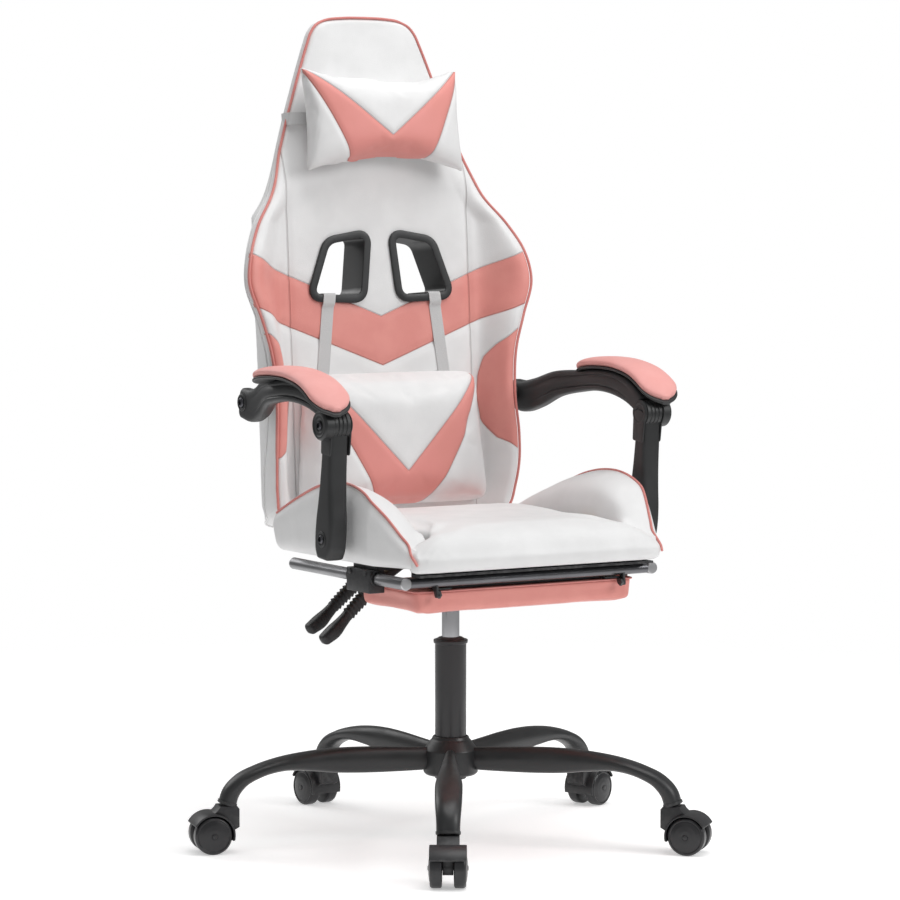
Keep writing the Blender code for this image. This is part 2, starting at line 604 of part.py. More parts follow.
def build_footrest_pad():
    """A padded board, face down when stowed, on a steel bracket whose lugs turn on the flip pins."""
    top = FLIP_Z + 0.0065
    middle = Vector((0, (PAD_FRONT + PAD_REAR) / 2, top - PAD_THICK / 2))
    half_long = (PAD_REAR - PAD_FRONT) / 2
    rings = []
    for inset, z in ((0.004, 0.5), (0.0, 0.38), (0.0, -0.1), (0.006, -0.4), (0.016, -0.5)):
        centre = middle + Vector((0, 0, z * PAD_THICK))
        rings.append(oval(centre, Vector((1, 0, 0)), Vector((0, 1, 0)), PAD_HALF - inset, half_long - inset,
                          28, 7.0))
    pivot = Vector((0, FLIP_Y, FLIP_Z))
    add_world("footrest_pad", rings, "pink_leather", pivot)
    plate_low = top + GAP
    plate = box((-0.150, PAD_FRONT + 0.012, plate_low), (0.150, PAD_REAR - 0.035, plate_low + 0.0022))
    bracket = add_world("footrest_pad_bracket", plate, "black_metal", pivot)
    for side, sign in SIDES:
        x0, x1 = sorted((sign * (EAR_X - GAP - 0.004), sign * (EAR_X - GAP)))
        arm0, arm1 = sorted((sign * 0.140, x1 if sign > 0 else x0))
        lug = [(PAD_FRONT - GAP, plate_low + 0.0022), (FLIP_Y - 0.002, FLIP_Z + 0.0055), (FLIP_Y - 0.0055, FLIP_Z),
               (FLIP_Y, FLIP_Z - 0.0055), (PAD_FRONT - 0.003, FLIP_Z - 0.003), (PAD_FRONT - GAP, FLIP_Z)]
        weld(bracket, add_world("lug_blank", side_prism(lug, x0, x1)))
        strip = box((arm0, PAD_FRONT - 0.003, plate_low), (arm1, PAD_FRONT + 0.020, plate_low + 0.0022))
        weld(bracket, add_world("lug_strip", strip))
        carve(bracket, add_world("lug_hole", rod_x((FLIP_Y, FLIP_Z), FLIP_PIN + GAP, x0 - 0.01, x1 + 0.01)))


# Back

def along(table, z):
    """The value at z in a table of (z, value) rows."""
    for (z0, low), (z1, high) in zip(table, table[1:]):
        if z <= z1:
            return low + (high - low) * max(0.0, z - z0) / (z1 - z0)
    return table[-1][1]


def head_bend(z):
    """How far the back has curved rearward at this height."""
    span = HEAD_OUTLINE[-1][0] - BEND_FROM
    return HEAD_BEND * (max(0.0, z - BEND_FROM) / span) ** 1.5


def pillow_bend(z):
    """The bend's tangent at the head pillow, so that the pillow and its strap lie along the back."""
    step = 0.001
    slope = (head_bend(HEAD_PILLOW_Z + step) - head_bend(HEAD_PILLOW_Z - step)) / (2 * step)
    return head_bend(HEAD_PILLOW_Z) + slope * (z - HEAD_PILLOW_Z)


def back_section(z, half, wing, rear):
    """Flat in the middle, with side wings that stand forward, thin at their edges."""
    shoulder = min(0.185, half - 0.045)
    knee = min(0.205, half - 0.016)
    edge = BACK_FACE - wing
    side = [(shoulder, BACK_FACE), (half - 0.022, BACK_FACE - 0.75 * wing), (half - 0.008, edge),
            (half, edge + 0.008), (half - 0.001, edge + along(BACK_DEPTH, z)), (knee, rear - 0.003),
            (knee - 0.012, rear)]
    bend = head_bend(z)
    return [(x, y + bend, z) for x, y in side] + [(-x, y + bend, z) for x, y in reversed(side)]


def build_back_cushion():
    rings = []
    for z, margin, wing in BACK_OUTLINE:
        rings.append(back_section(z, BOARD_HALF + margin, wing, BACK_REAR))
    top = HEAD_OUTLINE[-1][0]
    for z, half in HEAD_OUTLINE:
        thin = 0.014 * (z - HEAD_OUTLINE[0][0]) / (top - HEAD_OUTLINE[0][0])
        rings.append(back_section(z, half, 0.0, BACK_REAR - thin))
    cushion = add_back("back_cushion", rings, "white_leather")
    for label, low, high in frame_boxes(GAP, 0.030):
        carve(cushion, add_back("frame_groove", box(low, high)))
    for side, sign in SIDES:
        hole = grommet_outline(GROMMET_WALL + GAP, sign)
        walls = [[(x, y, z) for x, z in hole] for y in (-0.1, 0.1)]
        carve(cushion, add_back("grommet_hole_" + side, walls))
        pivot = back_place(BEAM_PIVOT)
        x0, x1 = sorted((sign * (BOARD_HALF - 0.020), sign * (BOLSTER_OUT + 0.02)))
        carve(cushion, add_back("beam_bolt_hole", rod_x(pivot, BOLT_RADIUS + 0.001, x0, x1)))
        s0, s1 = sorted((sign * (BOARD_HALF - 0.016), sign * (PLATE_X + TAB + 0.007)))
        slot = box((s0, -0.10, -0.06), (s1, 0.024, 0.026))
        carve(cushion, add_back("hinge_slot", slot))


def back_place(point):
    """A world point as (y, z) in the leaned frame of the back."""
    dy, dz = point.y - AXIS.y, point.z - AXIS.z
    return (dy * math.cos(LEAN) - dz * math.sin(LEAN), dz * math.cos(LEAN) + dy * math.sin(LEAN))


def frame_boxes(grow, rear):
    """The frame's bars and lugs as boxes, grown all round and drawn out rearward for its groove."""
    outer = BOARD_HALF
    inner = outer - UPRIGHT
    pivot_y, pivot_z = back_place(BEAM_PIVOT)
    rows = []
    for side, sign in SIDES:
        spans = (("upright", inner, outer, UPRIGHT_Y, UPRIGHT_Y + UPRIGHT, -LUG, UPRIGHT_TOP, rear),
                 ("hinge_lug", outer - TAB, outer, -LUG * 0.75, UPRIGHT_Y + 0.002, -LUG, LUG, 0),
                 ("beam_lug", outer - TAB, outer, pivot_y - 0.012, UPRIGHT_Y + 0.002, pivot_z - 0.015,
                  pivot_z + 0.015, 0))
        for label, x0, x1, y0, y1, z0, z1, open_rear in spans:
            a, b = sorted((sign * x0, sign * x1))
            rows.append((label, (a - grow, y0 - grow, z0 - grow), (b + grow, y1 + grow + open_rear, z1 + grow)))
    for z in CROSS_RAILS:
        rows.append(("rail", (-inner - 0.002, UPRIGHT_Y + 0.002 - grow, z - 0.010 - grow),
                     (inner + 0.002, UPRIGHT_Y + UPRIGHT - 0.002 + grow + rear, z + 0.010 + grow)))
    return rows


def build_back_frame():
    boxes = frame_boxes(0.0, 0.0)
    frame = add_back("back_frame", box(*boxes[0][1:]), "grey_steel")
    for label, low, high in boxes[1:]:
        weld(frame, add_back(label + "_blank", box(low, high)))
    pivot = back_place(BEAM_PIVOT)
    for spot, radius in (((0, 0), PIN_RADIUS + GAP), (pivot, BOLT_RADIUS + GAP)):
        hole = rod_x(spot, radius, -BOARD_HALF - 0.01, BOARD_HALF + 0.01, 16)
        for side, sign in SIDES:
            x0, x1 = sorted((sign * (BOARD_HALF - 0.012), sign * (BOARD_HALF + 0.01)))
            carve(frame, add_back("lug_hole", rod_x(spot, radius, x0, x1, 16)))


def build_hinge_pins():
    for side, sign in SIDES:
        x0, x1 = sorted((sign * (BOARD_HALF - 0.0125), sign * (PLATE_X + TAB + 0.004)))
        pin = add_back("hinge_pin_" + side, rod_x((0, 0), PIN_RADIUS, x0, x1, 16), "grey_steel")
        h0, h1 = sorted((sign * (PLATE_X + TAB + GAP), sign * (PLATE_X + TAB + 0.005)))
        weld(pin, add_back("pin_head", rod_x((0, 0), 0.010, h0, h1, 16)))


def grommet_outline(offset, sign):
    """The four-cornered hole with round corners, moved outward all round."""
    corners = [Vector(corner) for corner in GROMMET_HOLE]
    normals = []
    for i, corner in enumerate(corners):
        along = (corners[(i + 1) % 4] - corner).normalized()
        normals.append(Vector((along.y, -along.x)))
    points = []
    for i, corner in enumerate(corners):
        first, second = normals[i - 1], normals[i]
        middle = corner - (first + second) * (GROMMET_ROUND / (1 + first.dot(second)))
        for step in range(4):
            normal = first.slerp(second, step / 3)
            spot = middle + normal * (GROMMET_ROUND + offset)
            points.append((sign * spot.x, spot.y))
    return points


def build_grommets():
    """A tunnel through the back with a rim on its front and rear faces."""
    front, rear = BACK_FACE - GAP, BACK_REAR + GAP
    wall, rim = GROMMET_WALL, GROMMET_RIM
    profile = ((0, front - GROMMET_LIP), (rim - 0.002, front - GROMMET_LIP), (rim, front - GROMMET_LIP + 0.002),
               (rim, front), (wall, front), (wall, rear), (rim, rear), (rim, rear + GROMMET_LIP),
               (0, rear + GROMMET_LIP))
    for side, sign in SIDES:
        rings = [[(x, y, z) for x, z in grommet_outline(offset, sign)] for offset, y in profile]
        add_back("grommet_" + side, rings, "black_plastic", loop=True)


# Pillows and straps

def build_head_pillow():
    """Thick in the middle, thin at its edges, on a band that goes round the back."""
    face = BACK_FACE - 2 * GAP - STRAP
    rings = []
    for x in (-1.0, -0.93, -0.75, -0.4, 0.0, 0.4, 0.75, 0.93, 1.0):
        fat = max(0.16, (1 - abs(x) ** 3.5))
        tall = HEAD_PILLOW_RISE * (0.86 + 0.14 * x * x) * (0.94 if abs(x) == 1 else 1)
        half = HEAD_PILLOW_THICK / 2 * fat ** 0.5
        centre = Vector((x * HEAD_PILLOW_HALF, face - HEAD_PILLOW_THICK / 2, HEAD_PILLOW_Z))
        ring = oval(centre, Vector((0, 1, 0)), Vector((0, 0, 1)), half, tall, 14, 2.6)
        rings.append([point + Vector((0, pillow_bend(point.z), 0)) for point in ring])
    add_back("head_pillow", rings, "white_leather")
    (z0, w0), (z1, w1) = HEAD_OUTLINE[:2]
    band_foot = HEAD_PILLOW_Z + 0.004 - HEAD_STRAP_HALF
    half_at_strap = w0 + (w1 - w0) * (band_foot - z0) / (z1 - z0) + 0.0006
    near = BACK_FACE - GAP
    far = BACK_REAR + GAP
    rings = []
    for grow in (0, STRAP):
        loop = [(half_at_strap + grow, near - grow), (half_at_strap + grow, far + grow),
                (-half_at_strap - grow, far + grow), (-half_at_strap - grow, near - grow)]
        heights = (-HEAD_STRAP_HALF, HEAD_STRAP_HALF) if grow == 0 else (HEAD_STRAP_HALF, -HEAD_STRAP_HALF)
        levels = [HEAD_PILLOW_Z + 0.004 + z for z in heights]
        rings += [[(x, y + pillow_bend(level), level) for x, y in loop] for level in levels]
    add_back("head_strap", rings, "white_webbing", loop=True)


def build_lumbar_pillow():
    """Flat behind, domed in front, a little wider at its foot."""
    face = BACK_FACE - 2 * GAP - STRAP
    rings = []
    for step in (0.0, 0.06, 0.2, 0.5, 0.8, 0.94, 1.0):
        edge = min(step, 1 - step)
        fat = 0.35 + 0.65 * math.sqrt(max(0.0, 1 - (1 - min(edge / 0.35, 1)) ** 2))
        width = LUMBAR_HALF_LOW + (LUMBAR_HALF_TOP - LUMBAR_HALF_LOW) * step
        z = LUMBAR_BOTTOM + step * LUMBAR_HEIGHT
        front = [(u * width, face - LUMBAR_THICK * fat * (1 - abs(u) ** 3) ** 0.5)
                 for u in (-0.97, -0.8, -0.5, 0.0, 0.5, 0.8, 0.97)]
        rings.append([(x, y, z) for x, y in [(-width, face)] + front + [(width, face)]])
    add_back("lumbar_pillow", rings, "white_leather")


def build_lumbar_straps():
    """Flat webbing up the front of the back, over the sill of the hole and down behind it."""
    (x0, z0), (x1, z1) = GROMMET_HOLE[:2]
    reach = LUMBAR_STRAP_HEAD + LUMBAR_STRAP_HALF
    sill = z0 + (z1 - z0) * (reach - x0) / (x1 - x0)
    half = STRAP / 2
    near, far = BACK_FACE - GAP - half, BACK_REAR + GAP + half
    lip = GROMMET_LIP + GAP
    over = sill + GAP + half
    ramp = sill - GROMMET_RIM - 0.004
    path = ((near, LUMBAR_BOTTOM + 0.110), (near, ramp - 0.004), (near - lip, ramp), (near - lip, over - 0.001),
            (near - lip + 0.001, over), (far + lip - 0.001, over), (far + lip, over - 0.001), (far + lip, ramp),
            (far, ramp - 0.004), (far, sill - 0.060))
    low, high = path[0][1], sill
    for side, sign in SIDES:
        rings = []
        for i, (y, z) in enumerate(path):
            before, after = path[max(i - 1, 0)], path[min(i + 1, len(path) - 1)]
            along = Vector((0, after[0] - before[0], after[1] - before[1])).normalized()
            normal = Vector((0, along.z, -along.y)) * half
            share = min(1.0, (z - low) / (high - low)) if y < 0 else 1.0
            x = sign * (LUMBAR_STRAP_FOOT + (LUMBAR_STRAP_HEAD - LUMBAR_STRAP_FOOT) * share)
            centre = Vector((x, y, z))
            wide = Vector((LUMBAR_STRAP_HALF, 0, 0))
            rings.append([centre - wide - normal, centre + wide - normal, centre + wide + normal,
                          centre - wide + normal])
        add_back("lumbar_strap_" + side, rings, "white_webbing")


# Arms

def build_post(side, sign):
    """A post that widens downward, forked at its top round the beam's barrel."""
    run = HEAD - FOOT
    up = run.normalized()
    fore = Vector((0, -up.z, up.y))
    middle = Vector((sign * POST_X, 0, 0))
    rings = []
    for share, half in ((-0.135, 0.017), (-0.10, 0.021), (0.10, 0.0215), (0.45, 0.0175), (0.78, 0.014)):
        rings.append(oval(FOOT + run * share + middle, Vector((1, 0, 0)), fore, POST_HALF, half, 16, 4.0))
    origin = FOOT + middle
    post = add_world("arm_post_" + side, rings, "black_plastic", origin)
    for x0, x1 in ((FORK_IN - GAP - DISC_INNER, FORK_IN - GAP), (FORK_OUT + GAP, FORK_OUT + GAP + DISC_OUTER)):
        a, b = sorted((sign * x0, sign * x1))
        weld(post, add_world("fork_disc", rod_x((HEAD.y, HEAD.z), DISC_RADIUS, a, b, 20)))
        low = HEAD - up * 0.042
        cheek = [(low + fore * 0.013), (HEAD + fore * 0.016), (HEAD - fore * 0.016), (low - fore * 0.013)]
        weld(post, add_world("fork_cheek", side_prism([(p.y, p.z) for p in cheek], a, b)))
    c0, c1 = sorted((sign * (FORK_IN - 0.02), sign * (FORK_OUT + 0.03)))
    carve(post, add_world("knuckle_hole", rod_x((HEAD.y, HEAD.z), BOLT_RADIUS + GAP, c0, c1)))
    carve(post, add_world("foot_hole", rod_x((FOOT.y, FOOT.z), BOLT_RADIUS + GAP, c0, c1)))


def beam_section(y, z, half_height, sign, number):
    """The beam starts close to the back and moves outward to the knuckle."""
    share = number / (len(BEAM_PATH) - 1)
    start = BEAM_X
    end = (FORK_IN + FORK_OUT) / 2
    x = start + (end - start) * min(1.0, share * 1.35)
    half = BEAM_HALF_REAR + (0.0138 - BEAM_HALF_REAR) * share
    centre = Vector((sign * x, y, SEAT_Z + z))
    return centre, half, half_height


def build_beam(side, sign):
    rings = []
    for number, (y, z, half_height) in enumerate(BEAM_PATH):
        centre, half, tall = beam_section(y, z, half_height, sign, number)
        before, after = BEAM_PATH[max(number - 1, 0)], BEAM_PATH[min(number + 1, len(BEAM_PATH) - 1)]
        slope = Vector((0, after[0] - before[0], after[1] - before[1])).normalized()
        up = Vector((0, slope.z, -slope.y))
        rings.append(oval(centre, Vector((1, 0, 0)), up, half, tall, 12, 4.0))
    pivot = BEAM_PIVOT + Vector((sign * BEAM_X, 0, 0))
    beam = add_world("arm_beam_" + side, rings, "black_plastic", pivot)
    rear_in, rear_out = BOARD_HALF + BOSS_MARGIN, BEAM_X + BEAM_HALF_REAR + BOSS_PROUD
    spots = ((HEAD, FORK_IN + GAP, FORK_OUT - GAP, 0.021), (BEAM_PIVOT, rear_in, rear_out, 0.014))
    for spot, x0, x1, radius in spots:
        a, b = sorted((sign * x0, sign * x1))
        weld(beam, add_world("beam_boss", rod_x((spot.y, spot.z), radius, a, b, 20)))
        carve(beam, add_world("beam_hole", rod_x((spot.y, spot.z), BOLT_RADIUS + GAP, a - 0.02, b + 0.02)))


def build_arm_pad(side, sign):
    """The pad follows the beam's arch and droops over its front."""
    rings = []
    last = len(ARM_PAD_PATH) - 1
    pivot = BEAM_PIVOT + Vector((sign * BEAM_X, 0, 0))
    for i, (y, z) in enumerate(ARM_PAD_PATH):
        before, after = ARM_PAD_PATH[max(i - 1, 0)], ARM_PAD_PATH[min(i + 1, last)]
        slope = Vector((0, after[0] - before[0], after[1] - before[1])).normalized()
        up = Vector((0, slope.z, -slope.y))
        trim = 0.72 if i in (0, last) else 1.0
        centre = Vector((sign * (POST_X + 0.017), y, SEAT_Z + z)) + up * (ARM_PAD_THICK / 2 - 0.0009)
        rings.append(oval(centre, Vector((1, 0, 0)), up, ARM_PAD_HALF * trim, ARM_PAD_THICK / 2 * trim, 14, 3.0))
    add_world("arm_pad_" + side, rings, "pink_leather", pivot)


def build_bolt(name, spot, x0, x1, head, kind="grey_steel"):
    """A bolt along X with a six-sided head at its outer end."""
    outward = math.copysign(head, x1)
    low, high = sorted((x0, x1 + outward / 2))
    bolt = add_world(name, rod_x((spot.y, spot.z), BOLT_RADIUS, low, high), kind, (x1, spot.y, spot.z))
    a, b = sorted((x1, x1 + outward))
    weld(bolt, add_world("hex_head", rod_x((spot.y, spot.z), 0.0075, a, b, 6)))


def build_arm(side, sign):
    build_post(side, sign)
    build_beam(side, sign)
    build_arm_pad(side, sign)
    knuckle = FORK_OUT + 2 * GAP + DISC_OUTER
    build_bolt("arm_knuckle_bolt_" + side, HEAD, sign * (FORK_IN - 0.008), sign * knuckle, 0.005)
    build_bolt("arm_foot_bolt_" + side, FOOT, sign * (CUSHION_HALF + 0.001),
               sign * (POST_X + POST_HALF + GAP), 0.005)
    build_bolt("arm_rear_bolt_" + side, BEAM_PIVOT, sign * (BOARD_HALF - TAB - 0.006),
               sign * (BEAM_X + BEAM_HALF_REAR + BOSS_PROUD + GAP), 0.005)


def centre_on_floor():
    """Move the whole chair so that the origin is the middle of its box, on the floor."""
    bpy.context.view_layer.update()
    graph = bpy.context.evaluated_depsgraph_get()
    parts = [item for item in bpy.data.objects if not item.hide_render]
    corners = []
    for part in parts:
        shape = part.evaluated_get(graph)
        corners += [shape.matrix_world @ vertex.co for vertex in shape.data.vertices]
    x = (min(c.x for c in corners) + max(c.x for c in corners)) / 2
    y = (min(c.y for c in corners) + max(c.y for c in corners)) / 2
    for item in bpy.data.objects:
        item.location -= Vector((x, y, 0))
    print("column axis at", -x, -y)


def main():
    clear_scene()
    build_base()
    for number in range(LEG_COUNT):
        build_caster(number)
    build_gas_lift()
    build_chassis()
    for name, y, raise_tip in LEVER_ROWS:
        build_lever(name, y, raise_tip)
    build_seat_board()
    build_cushion()
    build_bolsters()
    build_hinge_plates()
    build_footrest_slides()
    build_crossbar()
    build_footrest_pad()
    build_back_cushion()
    build_back_frame()
    build_hinge_pins()
    build_grommets()
    build_head_pillow()
    build_lumbar_pillow()
    build_lumbar_straps()
    for side, sign in SIDES:
        build_arm(side, sign)
    centre_on_floor()


main()
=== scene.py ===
import math

import bmesh
import bpy
import numpy as np
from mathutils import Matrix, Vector


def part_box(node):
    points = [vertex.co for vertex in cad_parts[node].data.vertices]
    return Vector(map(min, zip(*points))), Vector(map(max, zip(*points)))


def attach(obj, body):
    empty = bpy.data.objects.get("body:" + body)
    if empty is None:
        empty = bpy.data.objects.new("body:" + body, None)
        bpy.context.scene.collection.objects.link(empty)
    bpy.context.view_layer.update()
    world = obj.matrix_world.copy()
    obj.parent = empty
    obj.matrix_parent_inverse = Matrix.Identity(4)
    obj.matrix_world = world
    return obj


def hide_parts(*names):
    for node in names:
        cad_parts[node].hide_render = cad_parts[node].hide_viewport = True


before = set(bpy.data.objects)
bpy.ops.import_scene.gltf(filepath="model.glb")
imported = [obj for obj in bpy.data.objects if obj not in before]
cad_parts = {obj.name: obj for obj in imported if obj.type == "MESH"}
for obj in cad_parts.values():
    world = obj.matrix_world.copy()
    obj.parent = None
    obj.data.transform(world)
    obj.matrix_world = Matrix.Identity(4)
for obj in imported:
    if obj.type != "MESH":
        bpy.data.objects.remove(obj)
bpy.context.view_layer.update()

# Reclining racing-style office chair. Metres, z up, the chair faces -y, so the sitter's left is +x.
columnLow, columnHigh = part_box("gas_column")
shift = np.array([(columnLow.x + columnHigh.x) / 2, (columnLow.y + columnHigh.y) / 2, 0.0])  # to the column axis
scene = bpy.context.scene
gap = 0.0003
lean = math.radians(4.0)      # of the back, about the recline axis
hinge = np.array([0.0, 0.217, 0.525])
seatTop = 0.480               # top of the seat board
sides = (("left", 1), ("right", -1))
sidePlane = ((0, 0, 0), (0, 1, 0), (0, 0, 1), (1, 0, 0))   # for an outline of (y, z) drawn out along x


def unit(v):
    v = np.asarray(v, float)
    return v / np.maximum(np.linalg.norm(v, axis=-1, keepdims=True), 1e-12)


def span(sign, near, far):
    # two distances from the middle as low and high x on one side
    return sorted((sign * near, sign * far))


def ease(t):
    t = np.clip(t, 0, 1)
    return t * t * (3 - 2 * t)


def spline(knots, count, dims=3):
    # cubic Hermite curve through the knots, slopes from their neighbours, even steps along the chords
    p = np.asarray(knots, float)
    t = np.r_[0, np.cumsum(np.linalg.norm(np.diff(p[:, :dims], axis=0), axis=1))]
    m = np.gradient(p, t, axis=0)
    x = np.linspace(0, t[-1], count)
    i = np.clip(np.searchsorted(t, x, side="right") - 1, 0, len(t) - 2)
    h = (t[i + 1] - t[i])[:, None]
    f = (x - t[i])[:, None] / h
    return ((2 * f**3 - 3 * f**2 + 1) * p[i] + (f**3 - 2 * f**2 + f) * h * m[i]
            + (3 * f**2 - 2 * f**3) * p[i + 1] + (f**3 - f**2) * h * m[i + 1])


def soften(points, radius, steps=5, closed=True):
    # each corner gives way to a parabola that starts and ends one radius away from it
    p = np.asarray(points, float)
    back, ahead = np.roll(p, 1, 0) - p, np.roll(p, -1, 0) - p
    lb, la = np.linalg.norm(back, axis=1), np.linalg.norm(ahead, axis=1)
    a = p + unit(back) * np.minimum(radius, lb * 0.48)[:, None]
    b = p + unit(ahead) * np.minimum(radius, la * 0.48)[:, None]
    t = np.linspace(0, 1, steps)[None, :, None]
    curve = ((1 - t) ** 2 * a[:, None] + 2 * t * (1 - t) * p[:, None] + t**2 * b[:, None])
    if not closed:
        curve = [p[:1]] + list(curve[1:-1]) + [p[-1:]]
        return np.vstack(curve)
    return curve.reshape(-1, p.shape[1])


def offsetOutline(outline, amount):
    # moves a closed outline outward along its own normals
    p = np.asarray(outline, float)
    along = unit(np.roll(p, -1, 0) - np.roll(p, 1, 0))
    area = np.sum(p[:, 0] * np.roll(p[:, 1], -1) - np.roll(p[:, 0], -1) * p[:, 1])
    normal = np.stack([along[:, 1], -along[:, 0]], 1) * np.sign(area)
    return p + normal * amount


def skin(grid, caps="flat"):
    # quads over grid[row, column]; caps are flat faces, or "loop" joins the last row to the first
    rows, cols = grid.shape[:2]
    order = np.arange(rows * cols).reshape(rows, cols)
    if caps == "loop":
        order = np.vstack([order, order[:1]])
    order = np.hstack([order, order[:, :1]])
    quads = np.stack([order[:-1, :-1], order[:-1, 1:], order[1:, 1:], order[1:, :-1]], -1).reshape(-1, 4).tolist()
    if caps == "flat":
        quads += [order[0, :cols][::-1].tolist(), order[-1, :cols].tolist()]
    return grid.reshape(-1, 3), quads


def turned(profile, centre, axis=(0, 0, 1), count=48):
    # a (radius, along) profile carried round an axis
    axis = unit(axis)
    side = unit(np.cross(axis, (0.0, 1.0, 0.0) if abs(axis[1]) < 0.9 else (0.0, 0.0, 1.0)))
    angle = np.arange(count) * math.tau / count
    ring = np.cos(angle)[:, None] * side + np.sin(angle)[:, None] * np.cross(axis, side)
    radius, along = np.asarray(profile, float).T
    return np.asarray(centre, float) + radius[:, None, None] * ring + along[:, None, None] * axis


def sweep(path, across, width, height, square=2.5, count=32, dome=(0.0, 0.0), shape=None):
    # superellipse sections along a path, half-width along across, half-height square to both; dome rounds the ends
    path = np.asarray(path, float)
    n = len(path)
    width, height = np.broadcast_to(width, n).astype(float), np.broadcast_to(height, n).astype(float)
    along = unit(np.gradient(path, axis=0))
    k = np.sin(np.linspace(0, math.pi / 2, 7)[1:])
    k = np.minimum(k, 0.9995)
    fade = np.sqrt(1 - k**2)
    if dome[0]:
        path = np.vstack([path[0] - along[0] * dome[0] * k[::-1, None], path])
        along = np.vstack([np.repeat(along[:1], 6, 0), along])
        width, height = np.r_[width[0] * fade[::-1], width], np.r_[height[0] * fade[::-1], height]
    if dome[1]:
        path = np.vstack([path, path[-1] + along[-1] * dome[1] * k[:, None]])
        along = np.vstack([along, np.repeat(along[-1:], 6, 0)])
        width, height = np.r_[width, width[-1] * fade], np.r_[height, height[-1] * fade]
    across = unit(np.broadcast_to(across, path.shape))
    up = unit(np.cross(along, across))
    angle = (np.arange(count) + 0.5) * math.tau / count
    c, s = np.cos(angle), np.sin(angle)
    power = 2 / np.broadcast_to(square, len(path))[:, None]
    u = np.sign(c) * np.abs(c) ** power * width[:, None]
    v = np.sign(s) * np.abs(s) ** power * height[:, None]
    if shape is not None:
        u, v = shape(u, v, width[:, None], height[:, None])
    return path[:, None] + u[..., None] * across[:, None] + v[..., None] * up[:, None]


def pipe(path, radius, level, count=10, closed=False):
    # a round cord along a path; level is a direction that the path never takes
    p = np.asarray(path, float)
    along = unit(np.roll(p, -1, 0) - np.roll(p, 1, 0)) if closed else unit(np.gradient(p, axis=0))
    first = unit(np.cross(along, level))
    second = np.cross(along, first)
    angle = np.arange(count) * math.tau / count
    ring = np.cos(angle)[None, :, None] * first[:, None] + np.sin(angle)[None, :, None] * second[:, None]
    return p[:, None] + ring * radius


def prism(outline, origin, u, v, w, low, high, bevel=0.0008):
    # a flat outline drawn out along w, its two rims bevelled
    rows = []
    for inset, at in ((bevel, low), (bevel * 0.3, low + bevel * 0.3), (0, low + bevel), (0, high - bevel),
                      (bevel * 0.3, high - bevel * 0.3), (bevel, high)):
        q = offsetOutline(outline, -inset)
        rows.append(np.asarray(origin) + q[:, :1] * np.asarray(u) + q[:, 1:] * np.asarray(v) + at * np.asarray(w))
    return np.array(rows)


def block(low, high, radius=0.002, bevel=0.001):
    # a box with rounded upright edges and bevelled rims
    (x0, y0, z0), (x1, y1, z1) = low, high
    outline = soften([(x0, y0), (x1, y0), (x1, y1), (x0, y1)], radius)
    return prism(outline, (0, 0, 0), (1, 0, 0), (0, 1, 0), (0, 0, 1), z0, z1, bevel)


def leaned(points):
    # from the back's own upright frame to the chair's, about the recline axis
    p = np.asarray(points, float)
    c, s = math.cos(lean), math.sin(lean)
    return np.stack([p[..., 0], hinge[1] + p[..., 1] * c + p[..., 2] * s, hinge[2] - p[..., 1] * s + p[..., 2] * c],
                    -1)


def upright(points):
    # the reverse of leaned
    p = np.asarray(points, float) - hinge
    c, s = math.cos(lean), math.sin(lean)
    return np.stack([p[..., 0], p[..., 1] * c - p[..., 2] * s, p[..., 1] * s + p[..., 2] * c], -1)


bend = dict(amount=0.020, start=0.440, top=0.7875, pillow=0.627)


def headBend(z):
    # how far the back has curved rearward at a height: a power curve from its start to its top
    return bend["amount"] * (np.maximum(0, np.asarray(z,
                                                      float) - bend["start"]) / (bend["top"] - bend["start"])) ** 1.5


def pillowBend(z):
    # the straight line that touches headBend at the head pillow's middle
    at, step = bend["pillow"], 0.001
    return headBend(at) + (headBend(at + step) - headBend(at - step)) / (2 * step) * (np.asarray(z, float) - at)


def bent(points, way, share=1):
    p = np.array(points, float)
    p[..., 1] += share * way(p[..., 2])
    return p


def evenSteps(points, count):
    # equal steps along straight stretches
    p = np.asarray(points, float)
    t = np.r_[0, np.cumsum(np.linalg.norm(np.diff(p, axis=0), axis=1))]
    return np.stack([np.interp(np.linspace(0, t[-1], count), t, column) for column in p.T], 1)


def readPoints(item):
    flat = np.empty(len(item.data.vertices) * 3, np.float32)
    item.data.vertices.foreach_get("co", flat)
    return flat.reshape(-1, 3).astype(float) - shift


def writePoints(item, points):
    item.data.vertices.foreach_set("co", (points + shift).astype(np.float32).ravel())
    item.data.update()


def readNormals(item):
    flat = np.empty(len(item.data.vertices) * 3, np.float32)
    item.data.vertex_normals.foreach_get("vector", flat)
    return flat.reshape(-1, 3).astype(float)


def storeField(item, name, values):
    # a number per vertex that a material reads by name
    field = item.data.attributes.new(name, "FLOAT", "POINT")
    field.data.foreach_set("value", np.asarray(values, np.float32))


def shadeSmooth(item, sharp):
    item.data.shade_smooth()
    item.data.set_sharp_from_angle(angle=math.radians(sharp))


def makeItem(name, skins, finish, sharp=38):
    mesh = bpy.data.meshes.new(name)
    points, faces, start = [], [], 0
    for part, quads in skins:
        points.append(part)
        faces += [[i + start for i in face] for face in quads]
        start += len(part)
    mesh.from_pydata((np.vstack(points) + shift).tolist(), [], faces)
    shell = bmesh.new()
    shell.from_mesh(mesh)
    bmesh.ops.remove_doubles(shell, verts=shell.verts, dist=2e-6)
    bmesh.ops.dissolve_degenerate(shell, edges=shell.edges, dist=1e-6)
    bmesh.ops.recalc_face_normals(shell, faces=shell.faces)
    shell.to_mesh(mesh)
    shell.free()
    item = bpy.data.objects.new(name, mesh)
    scene.collection.objects.link(item)
    mesh.materials.append(finish)
    shadeSmooth(item, sharp)
    return item


def fit(item, body, slot, *nodes):
    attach(item, body)
    if nodes:
        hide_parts(*nodes)


